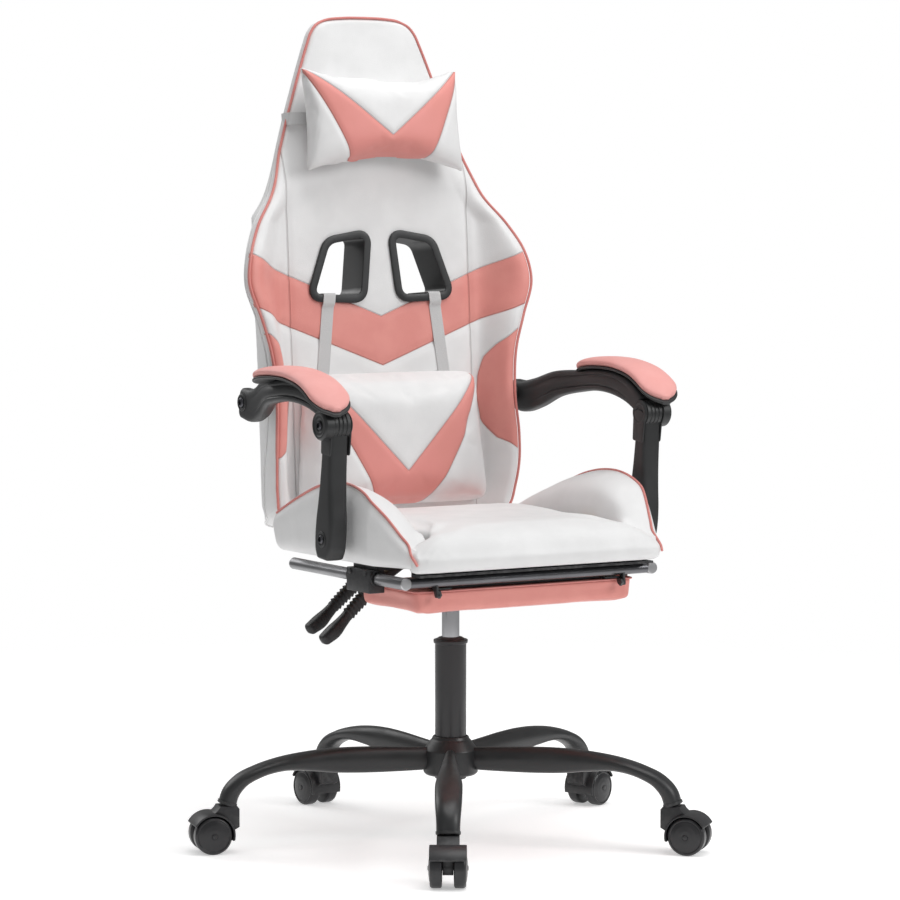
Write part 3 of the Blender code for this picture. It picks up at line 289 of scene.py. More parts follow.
def piece(name, skins, finish, body, slot, *nodes, sharp=38):
    fit(makeItem(name, skins, finish, sharp), body, slot, *nodes)


def bake(item):
    # turns the item's modifiers into mesh
    bpy.context.view_layer.update()
    graph = bpy.context.evaluated_depsgraph_get()
    made = bpy.data.meshes.new_from_object(item.evaluated_get(graph))
    item.modifiers.clear()
    item.data = made


def refine(item):
    step = item.modifiers.new("refine", "SUBSURF")
    step.levels = step.render_levels = 1
    bake(item)


def puff(item, voxel, pressure, cap, held):
    # cloth filled with air: remesh, blow up for 20 frames, keep each point within the cap, then refine once
    step = item.modifiers.new("remesh", "REMESH")
    step.mode, step.voxel_size = "VOXEL", voxel
    bake(item)
    start = readPoints(item)
    group = item.vertex_groups.new(name="held")
    group.add(np.flatnonzero(held(start)).tolist(), 1.0, "REPLACE")
    cloth = item.modifiers.new("cloth", "CLOTH")
    cloth.settings.quality = 5
    cloth.settings.mass = 0.3
    cloth.settings.tension_stiffness = cloth.settings.compression_stiffness = 12
    cloth.settings.shear_stiffness = 4
    cloth.settings.bending_stiffness = 0.4
    cloth.settings.use_pressure = True
    cloth.settings.uniform_pressure_force = pressure
    cloth.settings.vertex_group_mass = "held"
    cloth.settings.effector_weights.gravity = 0
    cloth.point_cache.frame_start, cloth.point_cache.frame_end = 1, 20
    for number in range(1, 21):
        scene.frame_set(number)
    graph = bpy.context.evaluated_depsgraph_get()
    blown = item.evaluated_get(graph).data
    flat = np.empty(len(blown.vertices) * 3, np.float32)
    blown.vertices.foreach_get("co", flat)
    move = flat.reshape(-1, 3).astype(float) - shift - start
    far = np.linalg.norm(move, axis=1, keepdims=True)
    item.modifiers.clear()
    writePoints(item, start + move * cap * np.tanh(far / cap) / np.maximum(far, 1e-9))
    item.vertex_groups.clear()
    scene.frame_set(1)
    refine(item)
    shadeSmooth(item, 60)


def toLine(points, line):
    # shortest distance from flat points to a closed line of straight stretches
    p, a = np.asarray(points, float), np.asarray(line, float)
    run = np.roll(a, -1, 0) - a
    t = np.clip(((p[:, None] - a) * run).sum(-1) / (run * run).sum(-1), 0, 1)
    return np.linalg.norm(p[:, None] - (a + t[..., None] * run), axis=-1).min(1)


def toPatch(points, outline):
    # signed distance to a closed patch, below zero inside it
    p, a = np.asarray(points, float), np.asarray(outline, float)
    b = np.roll(a, -1, 0)
    x, y = p[:, :1], p[:, 1:]
    crosses = (a[:, 1] > y) != (b[:, 1] > y)
    rise = np.where(b[:, 1] == a[:, 1], 1e-12, b[:, 1] - a[:, 1])
    inside = (crosses & (x < a[:, 0] + (y - a[:, 1]) * (b[:, 0] - a[:, 0]) / rise)).sum(1) % 2 == 1
    return toLine(p, a) * np.where(inside, -1, 1)


def mirrored(outline):
    # a patch drawn on +x only, as the same patch on -x
    return [(-x, z) for x, z in reversed(outline)]


def node(tree, kind, feeds=None, **settings):
    made = tree.nodes.new(kind)
    for key, value in settings.items():
        setattr(made, key, value)
    for key, value in (feeds or {}).items():
        if isinstance(value, bpy.types.NodeSocket):
            tree.links.new(value, made.inputs[key])
        else:
            made.inputs[key].default_value = value
    return made


def effect(name, takes, gives):
    # an empty shader group with named sockets
    tree = bpy.data.node_groups.new(name, "ShaderNodeTree")
    for label, start in takes:
        tree.interface.new_socket(label, in_out="INPUT", socket_type="NodeSocketFloat").default_value = start
    for label in gives:
        tree.interface.new_socket(label, in_out="OUTPUT", socket_type="NodeSocketFloat")
    return tree, tree.nodes.new("NodeGroupInput"), tree.nodes.new("NodeGroupOutput")


def sum2(tree, a, b, operation="ADD"):
    return node(tree, "ShaderNodeMath", {0: a, 1: b}, operation=operation).outputs[0]


def objectSpace(tree):
    return node(tree, "ShaderNodeTexCoord").outputs["Object"]


def noise(tree, place, scale, detail):
    return node(tree, "ShaderNodeTexNoise", {"Vector": place, "Scale": scale, "Detail": detail}).outputs["Fac"]


def stretched(tree, scale):
    return node(tree, "ShaderNodeMapping", {"Vector": objectSpace(tree), "Scale": scale}).outputs["Vector"]


def ramp(tree, value, low, high, outLow=0.0, outHigh=1.0):
    return node(tree, "ShaderNodeMapRange", {"Value": value, "From Min": low, "From Max": high,
                "To Min": outLow, "To Max": outHigh}, interpolation_type="SMOOTHSTEP").outputs["Result"]


# pebbled leather: small cells with creases between them, and slow changes of tone and level
leatherGrain, given, out = effect("leatherGrain", (("Cells", 620.0), ("Softness", 22.0)), ("Height", "Tone"))
place = objectSpace(leatherGrain)
cells = node(leatherGrain, "ShaderNodeTexVoronoi", {"Vector": place, "Scale": given.outputs["Cells"]},
             feature="DISTANCE_TO_EDGE")
soft = noise(leatherGrain, place, given.outputs["Softness"], 4.0)
pebble = ramp(leatherGrain, cells.outputs["Distance"], 0.0, 0.35)
leatherGrain.links.new(sum2(leatherGrain, pebble, sum2(leatherGrain, soft, 3.0, "MULTIPLY")), out.inputs["Height"])
leatherGrain.links.new(soft, out.inputs["Tone"])

# moulded plastic and powder coat: fine orange peel, with cloudy gloss
mouldedSkin, given, out = effect("mouldedSkin", (("Grain", 1400.0), ("Cloud", 14.0)), ("Height", "Cloud"))
place = objectSpace(mouldedSkin)
mouldedSkin.links.new(noise(mouldedSkin, place, given.outputs["Grain"], 2.0), out.inputs["Height"])
mouldedSkin.links.new(noise(mouldedSkin, place, given.outputs["Cloud"], 5.0), out.inputs["Cloud"])

# rubbed edges: where the surface turns sharply outward, broken up by noise
wornEdges, given, out = effect("wornEdges", (("Start", 0.53), ("End", 0.62)), ("Mask",))
place = objectSpace(wornEdges)
turn = node(wornEdges, "ShaderNodeNewGeometry").outputs["Pointiness"]
patch = noise(wornEdges, place, 130.0, 3.0)
edge = node(wornEdges, "ShaderNodeMapRange", {"Value": turn, "From Min": given.outputs["Start"],
            "From Max": given.outputs["End"]}).outputs["Result"]
wornEdges.links.new(sum2(wornEdges, edge, ramp(wornEdges, patch, 0.35, 0.7), "MULTIPLY"), out.inputs["Mask"])

# dust: settles on what faces up
dustFall, given, out = effect("dustFall", (("Amount", 0.5),), ("Mask",))
place = objectSpace(dustFall)
facing = node(dustFall, "ShaderNodeSeparateXYZ",
              {"Vector": node(dustFall, "ShaderNodeNewGeometry").outputs["Normal"]}).outputs["Z"]
speck = noise(dustFall, place, 45.0, 6.0)
fall = sum2(dustFall, ramp(dustFall, facing, 0.45, 0.95), ramp(dustFall, speck, 0.4, 0.75), "MULTIPLY")
dustFall.links.new(sum2(dustFall, fall, given.outputs["Amount"], "MULTIPLY"), out.inputs["Mask"])


def useEffect(tree, group, **values):
    made = node(tree, "ShaderNodeGroup", node_tree=group)
    for key, value in values.items():
        made.inputs[key].default_value = value
    return made


def mixColour(tree, factor, a, b, blend="MIX"):
    # sockets 6, 7 and 2 are the colour ones
    a, b = (c if isinstance(c, bpy.types.NodeSocket) else (*c, 1) for c in (a, b))
    made = node(tree, "ShaderNodeMix", {"Factor": factor, 6: a, 7: b}, data_type="RGBA", blend_type=blend)
    return made.outputs[2]


def newFinish(name, **fixed):
    material = bpy.data.materials.new(name)
    material.use_nodes = True
    tree = material.node_tree
    shader = tree.nodes["Principled BSDF"]
    for key, value in fixed.items():
        shader.inputs[key.replace("_", " ")].default_value = value
    return material, tree, shader


def bump(tree, shader, height, distance, strength=1.0):
    lift = node(tree, "ShaderNodeBump", {"Height": height, "Distance": distance, "Strength": strength})
    tree.links.new(lift.outputs["Normal"], shader.inputs["Normal"])


def leather(name, colour, shade, cells=620.0, rough=(0.38, 0.52), depth=0.00012, trim=None, seam=None):
    # colour and shade are mixed by the grain's slow tone; trim is a second colour inside the stored patches
    material, tree, shader = newFinish(name, Sheen_Weight=0.08, Sheen_Roughness=0.5, IOR=1.45)
    grain = useEffect(tree, leatherGrain, Cells=cells)
    tone = ramp(tree, grain.outputs["Tone"], 0.3, 0.7)
    base = mixColour(tree, tone, shade, colour)
    height = grain.outputs["Height"]
    for kind, other in (("trim", trim), ("seam", seam)):
        if not other:
            continue
        away = node(tree, "ShaderNodeAttribute", attribute_name=kind).outputs["Fac"]
        near = sum2(tree, away, 0.0, "ABSOLUTE")
        if kind == "trim":
            base = mixColour(tree, ramp(tree, away, -0.0004, 0.0004, 1.0, 0.0), base,
                             mixColour(tree, tone, other[1], other[0]))
        # painted shade: within about 2 mm of each trim edge and seam the colour is darkened towards (0.35, 0.30,
        # 0.29), shade painted into the sunk groove; the same mask also dips the bump height
        creaseShade = ramp(tree, near, 0.0003, 0.0022, 1.0, 0.0)
        base = mixColour(tree, sum2(tree, creaseShade, 0.30, "MULTIPLY"), base, (0.35, 0.30, 0.29), "MULTIPLY")
        height = sum2(tree, height, sum2(tree, creaseShade, 9.0, "MULTIPLY"), "SUBTRACT")
    tree.links.new(base, shader.inputs["Base Color"])
    tree.links.new(ramp(tree, grain.outputs["Tone"], 0.3, 0.7, rough[1], rough[0]), shader.inputs["Roughness"])
    bump(tree, shader, height, depth)
    return material


def hardFinish(name, colour, worn, rough=(0.35, 0.5), grain=1400.0, depth=0.00003, dust=0.12):
    # painted metal or moulded plastic: cloudy gloss, orange peel, rubbed edges and a little dust
    material, tree, shader = newFinish(name)
    surface = useEffect(tree, mouldedSkin, Grain=grain)
    rubbed = useEffect(tree, wornEdges).outputs["Mask"]
    dusty = useEffect(tree, dustFall, Amount=dust).outputs["Mask"]
    cloud = surface.outputs["Cloud"]
    deep = tuple(c * 0.8 for c in colour)
    base = mixColour(tree, ramp(tree, cloud, 0.3, 0.7), deep, colour)
    base = mixColour(tree, sum2(tree, rubbed, 0.6, "MULTIPLY"), base, worn)
    base = mixColour(tree, sum2(tree, dusty, 0.35, "MULTIPLY"), base, (0.28, 0.285, 0.29))
    tree.links.new(base, shader.inputs["Base Color"])
    gloss = ramp(tree, cloud, 0.3, 0.7, rough[0], rough[1])
    tree.links.new(sum2(tree, gloss, sum2(tree, dusty, 0.25, "MULTIPLY")), shader.inputs["Roughness"])
    bump(tree, shader, surface.outputs["Height"], depth)
    return material


def brushedFinish(name, colour, rough, stretch):
    # drawn or polished steel: fine lines along one direction
    material, tree, shader = newFinish(name, Metallic=1.0)
    lines = noise(tree, stretched(tree, stretch), 1.0, 4.0)
    cloud = useEffect(tree, mouldedSkin).outputs["Cloud"]
    tree.links.new(mixColour(tree, ramp(tree, cloud, 0.3, 0.7), tuple(c * 0.82 for c in colour), colour),
                   shader.inputs["Base Color"])
    tree.links.new(ramp(tree, lines, 0.3, 0.7, rough[0], rough[1]), shader.inputs["Roughness"])
    bump(tree, shader, lines, 0.00001)
    return material


def webbingFinish(name, colour, rib):
    # woven tape: a rib one way and a finer weave the other
    material, tree, shader = newFinish(name, Sheen_Weight=0.2, Roughness=0.8)
    place = objectSpace(tree)
    waves = [node(tree, "ShaderNodeTexWave", {"Vector": place, "Scale": size, "Distortion": 0.4},
                  bands_direction=way).outputs["Fac"] for way, size in (("X", rib), ("Z", rib * 0.7))]
    weave = sum2(tree, waves[0], waves[1], "MULTIPLY")
    tree.links.new(mixColour(tree, weave, tuple(c * 0.8 for c in colour), colour), shader.inputs["Base Color"])
    bump(tree, shader, weave, 0.0002)
    return material


def woodFinish(name, light, dark):
    # plywood: thin plies across z and long grain along x
    material, tree, shader = newFinish(name)
    grain = noise(tree, stretched(tree, (6.0, 60.0, 500.0)), 1.0, 6.0)
    tree.links.new(mixColour(tree, ramp(tree, grain, 0.3, 0.7), dark, light), shader.inputs["Base Color"])
    tree.links.new(ramp(tree, grain, 0.3, 0.7, 0.6, 0.8), shader.inputs["Roughness"])
    bump(tree, shader, grain, 0.0001)
    return material


tints = dict(white=(0.83, 0.83, 0.83), whiteShade=(0.79, 0.79, 0.79),
             pink=(0.80, 0.315, 0.275), pinkShade=(0.76, 0.285, 0.25),
             pillowPink=(0.78, 0.29, 0.26), padPink=(0.88, 0.42, 0.39))
pinks = (tints["pink"], tints["pinkShade"])
whiteLeather = leather("whiteLeather", tints["white"], tints["whiteShade"], trim=pinks)
backLeather = leather("backLeather", tints["white"], tints["whiteShade"], trim=pinks, seam=True)
pillowLeather = leather("pillowLeather", tints["white"], tints["whiteShade"],
                        trim=(tints["pillowPink"], tints["pinkShade"]))
pinkLeather = leather("pinkLeather", tints["pink"], tints["pinkShade"])
pipingLeather = leather("pipingLeather", (0.74, 0.27, 0.24), (0.66, 0.22, 0.2), cells=1200.0)
armLeather = leather("armLeather", tints["padPink"], (0.84, 0.38, 0.35), rough=(0.42, 0.55))
powderBlack = hardFinish("powderBlack", (0.022, 0.023, 0.024), (0.09, 0.09, 0.09), (0.32, 0.46), grain=900.0)
tubeBlack = hardFinish("tubeBlack", (0.024, 0.024, 0.026), (0.1, 0.1, 0.1), (0.3, 0.42), grain=1100.0)
pressedBlack = hardFinish("pressedBlack", (0.020, 0.020, 0.022), (0.1, 0.1, 0.1), (0.35, 0.5))
armPlastic = hardFinish("armPlastic", (0.026, 0.027, 0.028), (0.07, 0.07, 0.07), (0.4, 0.52), depth=0.00005)
hoodPlastic = hardFinish("hoodPlastic", (0.022, 0.022, 0.024), (0.07, 0.07, 0.07), (0.35, 0.5), depth=0.00005)
wheelNylon = hardFinish("wheelNylon", (0.016, 0.016, 0.018), (0.06, 0.06, 0.06), (0.28, 0.42), dust=0.2)
leverPlastic = hardFinish("leverPlastic", (0.014, 0.014, 0.015), (0.06, 0.06, 0.06), (0.4, 0.55))
grommetPlastic = hardFinish("grommetPlastic", (0.022, 0.023, 0.024), (0.07, 0.07, 0.07), (0.3, 0.42), dust=0.05)
innerNylon = hardFinish("innerNylon", (0.05, 0.05, 0.052), (0.1, 0.1, 0.1), (0.45, 0.6))
boltSteel = brushedFinish("boltSteel", (0.10, 0.10, 0.11), (0.3, 0.45), (900.0, 900.0, 900.0))
railSteel = brushedFinish("railSteel", (0.30, 0.30, 0.31), (0.28, 0.42), (900.0, 30.0, 900.0))
endSteel = brushedFinish("endSteel", (0.55, 0.55, 0.56), (0.3, 0.45), (700.0, 700.0, 700.0))
barSteel = brushedFinish("barSteel", (0.16, 0.16, 0.17), (0.25, 0.4), (30.0, 900.0, 900.0))
chromeSteel = brushedFinish("chromeSteel", (0.80, 0.80, 0.82), (0.06, 0.12), (900.0, 900.0, 20.0))
whiteWebbing = webbingFinish("whiteWebbing", (0.80, 0.80, 0.80), 900.0)
plywood = woodFinish("plywood", (0.50, 0.36, 0.22), (0.38, 0.25, 0.14))
print("finishes made")


legs = dict(count=5, first=math.radians(-31.7), reach=0.369, tip=0.075, hubBottom=0.105, hubTop=0.163,
            hubRadius=0.04375)


def legDirection(number):
    angle = legs["first"] + math.tau * number / legs["count"]
    return np.array([math.sin(angle), -math.cos(angle), 0.0])


def buildBase():
    r, low, high = legs["hubRadius"], legs["hubBottom"], legs["hubTop"]
    profile = soften([(0.026, low), (r - 0.004, low), (r, low + 0.004), (r, high - 0.018), (r - 0.011, high - 0.003),
                      (0.0305, high - 0.001), (0.0285, high + 0.004), (0.0262, high + 0.004)], 0.0015, closed=False)
    skins = [skin(turned(profile, (0, 0, 0), count=72), caps="loop")]
    reach = legs["reach"]
    knots = [(0.030, 0.057, 0.0095, 0.0180), (0.090, 0.0585, 0.0110, 0.0200), (reach - 0.232, 0.060, 0.0130, 0.0210),
             (reach - 0.180, 0.0615, 0.0150, 0.0200), (reach - 0.134, 0.0625, 0.0180, 0.0160),
             (reach - 0.089, 0.0600, 0.0210, 0.0115), (reach - 0.050, 0.0500, 0.0210, 0.0105),
             (reach - 0.022, 0.0360, 0.0200, 0.0118), (reach - 0.006, 0.0180, 0.0185, 0.0135),
             (reach, 0.0, 0.0180, 0.0140)]
    for number in range(legs["count"]):
        away = legDirection(number)
        track = spline(knots, 90, 2)
        path = away * track[:, :1] + np.array([0, 0, 1]) * (legs["tip"] + track[:, 1:2])
        side = np.array([-away[1], away[0], 0])
        skins.append(skin(sweep(path, side, track[:, 2], track[:, 3], 2.2, 36)))
        skins.append(skin(sweep(path[-2:] + (0, 0, 0.0008), side, 0.0192, 0.0150, 2.4, 36)))  # collar at the tip
    piece("starBase", skins, powderBlack, "base", "black_metal", "star_base")


buildBase()


caster = dict(wheel=0.030, width=0.0195, slot=0.0175, trail=0.027, wall=0.003, top=0.0747, neck=0.0165)


def arc(radius, start, end, steps, centre):
    angle = np.radians(np.linspace(start, end, steps))
    return np.stack([centre[0] + radius * np.cos(angle), centre[1] + radius * np.sin(angle)], 1)


def buildCaster(number):
    label = "caster_%d" % (number + 1)
    away = legDirection(number)
    axle = np.array([-away[1], away[0], 0.0])
    stem = away * legs["reach"]
    up = np.array([0.0, 0.0, 1.0])
    centre = (caster["trail"], caster["wheel"])
    near, far = caster["slot"] / 2, caster["slot"] / 2 + caster["width"]
    inner = caster["wheel"] + 0.0016
    outer = inner + caster["wall"]
    cover = np.vstack([arc(inner, 28, 196, 40, centre), arc(outer, 194, 30, 40, centre)])
    skins = [skin(prism(cover, stem, away, up, axle, -far, far, 0.0013))]
    neckHalf = caster["neck"]
    neck = np.vstack([arc(inner + 0.0005, 92, 172, 14, centre), [(-neckHalf, 0.041), (-neckHalf, 0.070),
                      (-neckHalf + 0.004, caster["top"]), (neckHalf - 0.002, caster["top"]),
                                                                 (neckHalf + 0.001, 0.070)]])
    skins.append(skin(prism(neck, stem, away, up, axle, -0.0172, 0.0172, 0.0012)))
    web = np.vstack([arc(inner + 0.001, 60, 180, 20, centre), arc(0.011, 205, 385, 16, centre)])
    skins.append(skin(prism(web, stem, away, up, axle, -near + 0.0006, near - 0.0006, 0.0006)))
    stemProfile = soften([(0.004, 0.066), (0.0055, 0.068), (0.0055, 0.100), (0.004, 0.102)], 0.001, closed=False)
    skins.append(skin(turned(stemProfile, stem, count=24)))
    ring = soften([(0.006, caster["top"] - 0.0005), (0.0145, caster["top"] - 0.0005),
                   (0.0145, caster["top"] + 0.0004),
                   (0.006, caster["top"] + 0.0004)], 0.0002)
    skins.append(skin(turned(ring, stem, count=36), caps="loop"))
    hub = stem + away * caster["trail"] + up * caster["wheel"]
    skins.append(skin(turned([(0.0039, -far + 0.003), (0.0039, far - 0.003)], hub, axle, 20)))
    piece(label + "_cover", skins, hoodPlastic, label, "hood_plastic", label + "_hood")
    for letter, side in (("a", 1), ("b", -1)):
        wheel = caster["wheel"]
        profile = soften([(0.0042, near), (wheel - 0.004, near), (wheel - 0.0006, near + 0.0012),
                          (wheel, near + 0.003),
                          (wheel, far - 0.0045), (wheel - 0.0012, far - 0.0022), (wheel - 0.0030, far - 0.0008),
                          (wheel - 0.0042, far - 0.0008), (wheel - 0.0050, far - 0.0019),
                          (wheel - 0.0060, far - 0.0014),
                          (wheel - 0.0120, far + 0.0002), (0.0100, far + 0.0012), (0.0042, far + 0.0014)], 0.0009)
        piece(label + "_roller_" + letter, [skin(turned(profile, hub, axle * side, 64), caps="loop"),
                                            skin(turned(soften([(0.0005, far + 0.0006), (0.0046, far + 0.0006),
                                                                (0.0040, far + 0.0022), (0.0005, far + 0.0026)],
                                                               0.0006, closed=False), hub, axle * side, 28))],
              wheelNylon, label + "_wheel_" + letter, "wheel_nylon", label + "_wheel_" + letter)


for number in range(legs["count"]):
    buildCaster(number)
print("base and casters made")


lift = dict(tube=0.025, bottom=0.0985, top=0.323, piston=0.014, pistonTop=0.4462, pistonFoot=0.200)


def buildLift():
    r, low, high = lift["tube"], lift["bottom"], lift["top"]
    profile = soften([(0.0215, low), (r, low), (r, high - 0.007), (r + 0.0022, high - 0.006),
                      (r + 0.0026, high - 0.001),
                      (r + 0.0010, high), (0.0222, high), (0.0222, low + 0.006)], 0.0008)
    piece("columnTube", [skin(turned(profile, (0, 0, 0), count=80), caps="loop")], tubeBlack, "base", "column_steel",
          "gas_column")
    collar = soften([(0.0147, high - 0.040), (0.0217, high - 0.040), (0.0217, high + 0.0015), (0.0185, high + 0.0035),
                     (0.0147, high + 0.0035)], 0.0008)
    piece("columnBush", [skin(turned(collar, (0, 0, 0), count=64), caps="loop")], innerNylon, "base", "inner_nylon",
          "column_bush")
    p = lift["piston"]
    piston = soften([(p - 0.003, lift["pistonFoot"]), (p, lift["pistonFoot"] + 0.002), (p, 0.4375),
                     (p - 0.0006, 0.4385),
                     (p - 0.0006, lift["pistonTop"] - 0.001), (p - 0.003, lift["pistonTop"])], 0.001, closed=False)
    piece("piston", [skin(turned(piston, (0, 0, 0), count=72))], chromeSteel, "seat", "chrome", "gas_cylinder")
    ferrule = soften([(p + 0.0003, 0.424), (p + 0.0065, 0.424), (p + 0.0080, 0.4376), (p + 0.0003, 0.4376)], 0.001)
    piece("mechanismSocket", [skin(turned(ferrule, (0, 0, 0), count=56), caps="loop")], pressedBlack, "seat",
          "chassis_steel")


buildLift()


lever = dict(pivotX=-0.042, height=0.4565, half=0.0065,
             rows=(("height_lever", 0.0, 0.0), ("recline_lever", 0.046, 0.012)))


def buildLever(name, y, lifted):
    # flat inner arm, ribbed shank and a paddle; the ribs are a saw-tooth swelling along the path
    knots = np.array([(0.044, 0.0, 0.0020, 0.75), (0.0, 0.0, 0.0035, 1.0), (-0.030, -0.003, 0.0048, 1.0),
                      (-0.075, -0.024, 0.0078, 1.0), (-0.100, -0.040, 0.0085, 1.0), (-0.120, -0.058, 0.0085, 1.0),
                      (-0.148, -0.084, 0.0082, 1.0), (-0.158, -0.094, 0.0090, 1.2), (-0.172, -0.107, 0.0108, 1.6),
                      (-0.188, -0.1185, 0.0092, 1.5)])
    track = spline(knots, 260, 2)
    drop = track[:, 1] + lifted * np.maximum(0, -track[:, 0] - 0.03) / 0.163
    path = np.stack([lever["pivotX"] + track[:, 0], np.full(260, y), lever["height"] + drop], 1)
    along = np.r_[0, np.cumsum(np.linalg.norm(np.diff(path, axis=0), axis=1))]
    ribbed = ease((-track[:, 0] - 0.098) / 0.006) * ease((0.150 + track[:, 0]) / 0.006)
    saw = (along / 0.0072) % 1.0
    swell = 1 + 0.42 * ribbed * np.minimum(saw * 1.25, (1 - saw) * 5)
    grid = sweep(path, (0, 1, 0), lever["half"] * track[:, 3] * (0.86 + 0.14 * swell), track[:, 2] * swell, 4.0, 28,
                 (0.0, 0.007))
    pin = soften([(0.0028, -0.0102), (0.003, -0.0098), (0.003, 0.0098), (0.0028, 0.0102)], 0.0003, closed=False)
    skins = [skin(grid), skin(turned(pin, (lever["pivotX"], y, lever["height"]), (0, 1, 0), 24))]
    piece(name + "_grip", skins, leverPlastic, name, "chassis_steel", name, sharp=45)


for name, y, lifted in lever["rows"]:
    buildLever(name, y, lifted)
print("lift and levers made")


seat = dict(half=0.178, front=-0.285, rear=0.155, thick=0.050, lip=-0.2463, boardHalf=0.1833, bolsterIn=0.1836,
            bolsterOut=0.255, voxel=0.006)


def buildSeatCushion():
    # the side outline of the pad drawn across x, drawn in a little at both ends, then blown up
    top = seatTop + seat["thick"] - 0.004
    front, rear, lip = seat["front"] + 0.005, seat["rear"] - 0.002, seat["lip"]
    outline = soften([(lip, seatTop + 0.0008), (lip, seatTop - 0.014), (front + 0.010, seatTop - 0.014),
                      (front, seatTop - 0.002), (front, seatTop + 0.018), (front + 0.010, top - 0.010),
                      (front + 0.032, top), (0.020, top), (rear - 0.020, top - 0.006), (rear, top - 0.016),
                      (rear, seatTop + 0.0008)], 0.012, 5)
    rows = []
    for x in np.linspace(-1, 1, 61):
        pull = 0.010 * (1 - math.sqrt(max(0.0, 1 - max(0.0, (abs(x) - 0.94) / 0.06) ** 2)))
        flat = np.array([(lip + rear) / 2, seatTop + 0.02]) + (outline - ((lip + rear) / 2,
                                                                          seatTop + 0.02)) * (1 - pull * 4)
        rows.append(np.column_stack([np.full(len(flat), x * (seat["half"] - 0.003)), flat]))
    # the front roll goes on across both bolsters' ends, lower and shorter towards its own
    nose = soften([(lip + 0.004, seatTop - 0.0175), (front + 0.008, seatTop - 0.0165), (front, seatTop - 0.002),
                   (front, seatTop + 0.019), (front + 0.009, top - 0.010), (front + 0.030, top), (lip + 0.004, top)],
                  0.008, 5)
    foot = np.array([lip, seatTop - 0.017])
    roll = []
    for x, deep, tall in ((0, 1, 1), (0.120, 1, 1), (0.172, 1, 1), (0.190, 0.95, 0.90), (0.206, 0.86, 0.78),
                          (0.217, 0.75, 0.66),
                          (0.223, 0.64, 0.56)):
        flat = foot + (nose - foot) * (deep, tall)
        roll.append(np.column_stack([np.full(len(flat), x), flat]))
    roll = [ring * (-1, 1, 1) for ring in roll[:0:-1]] + roll
    item = makeItem("seatCushion", [skin(np.array(rows)), skin(np.array(roll))], whiteLeather)
    puff(item, seat["voxel"], 4.0, 0.006, lambda p: (p[:, 2] < seatTop + 0.007) | (p[:, 1] > rear - 0.006))
    p = readPoints(item)
    behind = p[:, 1] > seat["lip"] + 0.004
    wide = seat["boardHalf"] - gap
    p[behind, 0] = np.clip(p[behind, 0], -wide, wide)
    rests = p[:, 1] > seat["lip"] + 0.001
    p[rests, 2] = np.maximum(p[rests, 2], seatTop + 0.0004)
    writePoints(item, p)
    # small coloured corners where the pad runs back under the pillow
    corner = [(0.184, 0.170), (0.184, 0.045), (0.150, 0.080), (0.105, 0.110), (0.060, 0.125), (0.060, 0.170)]
    flat = p[:, :2]
    storeField(item, "trim", np.minimum(toPatch(flat, corner), toPatch(flat, mirrored(corner))))
    fit(item, "seat", "white_leather", "seat_cushion")


crestLine = spline([(y, c) for y, c in ((0.124, 0.047), (0.090, 0.062), (0.050, 0.078), (-0.020, 0.101),
                                        (-0.070, 0.109),
                    (-0.120, 0.108), (-0.160, 0.097), (-0.200, 0.070), (-0.233, 0.037), (-0.2480, 0.022))], 90, 2)


def bolsterSection(y, crest):
    # half-moon side wing: inner slope up from the pad, crest near the outside, then a flat outer panel
    slim = np.maximum(0, -0.18 - y) / 0.068
    outer = seat["bolsterOut"] - 0.027 * slim
    inside = seat["bolsterIn"]
    foot = -0.010
    tall = max(crest - foot, 0.004)
    edge = outer - 0.008
    step = min(0.80 * tall, 0.050) + foot
    inner = spline([(inside, foot + 0.3 * (step - foot)), (inside + 0.0005, step),
                    (inside + 0.011, foot + 0.78 * tall + 0.003),
                    (inside + (edge - inside) * 0.52, foot + 0.93 * tall), (edge, foot + tall)], 26, 2)
    panel = spline([(edge + 0.0006, foot + tall - 0.0006), (outer - 0.001, foot + 0.86 * tall),
                    (outer + 0.0025, foot + 0.45 * tall), (outer - 0.003, foot + 0.06 * tall),
                    (outer - 0.008, foot)], 22, 2)
    under = np.array([(outer - 0.012, foot), (0.1925, foot), (0.1920, foot + 0.002),
                      (0.1920, min(0.0006, foot + 0.2 * tall)), (inside, min(0.0012, foot + 0.25 * tall))])
    return np.vstack([inner, panel, under]), (edge, foot + tall)


def buildBolster(side, sign):
    rows, welt = [], []
    for y, crest in crestLine:
        section, edge = bolsterSection(y, crest)
        tuck = 0.018 * ease((y - 0.05) / 0.07)       # the rear end slants forward towards its foot
        tall = edge[1] + 0.010
        rows.append([(sign * x, y - tuck * (1 - (z + 0.010) / tall), seatTop + gap + z) for x, z in section])
        welt.append((sign * (edge[0] + 0.0008), y, seatTop + gap + edge[1] + 0.0004))
    rows = np.array(rows)
    nose = []
    for k in (0.45, 0.75, 0.93, 1.0):         # the front end runs on into the cushion's roll
        last = rows[-1].copy()
        corner = np.array([sign * (seat["bolsterIn"] + 0.008), last[0, 1], seatTop - 0.004])
        nose.append(corner + (last - corner) * (0.25 + 0.75 * math.sqrt(max(0.0, 1 - k * k))) + (0, -0.012 * k, 0))
    item = makeItem("seatBolster_" + side, [skin(np.concatenate([rows, np.array(nose)]))], whiteLeather, 60)
    storeField(item, "trim", np.full(len(item.data.vertices), 0.05))
    fit(item, "seat", "white_leather", "seat_bolster_" + side)
    welt = np.array(welt)
    tail = [(sign * 0.2245, -0.2575, seatTop + 0.0115), (sign * 0.2240, -0.2660, seatTop + 0.0040),
            (sign * 0.2220, -0.2715, seatTop - 0.0030)]
    piece("bolsterPiping_" + side, [skin(pipe(spline(np.vstack([welt[::4], tail]), 150), 0.0021, (1, 0, 0.01)))],
          pipingLeather, "seat", "pink_leather")


buildSeatCushion()
for side, sign in sides:
    buildBolster(side, sign)
print("seat made")


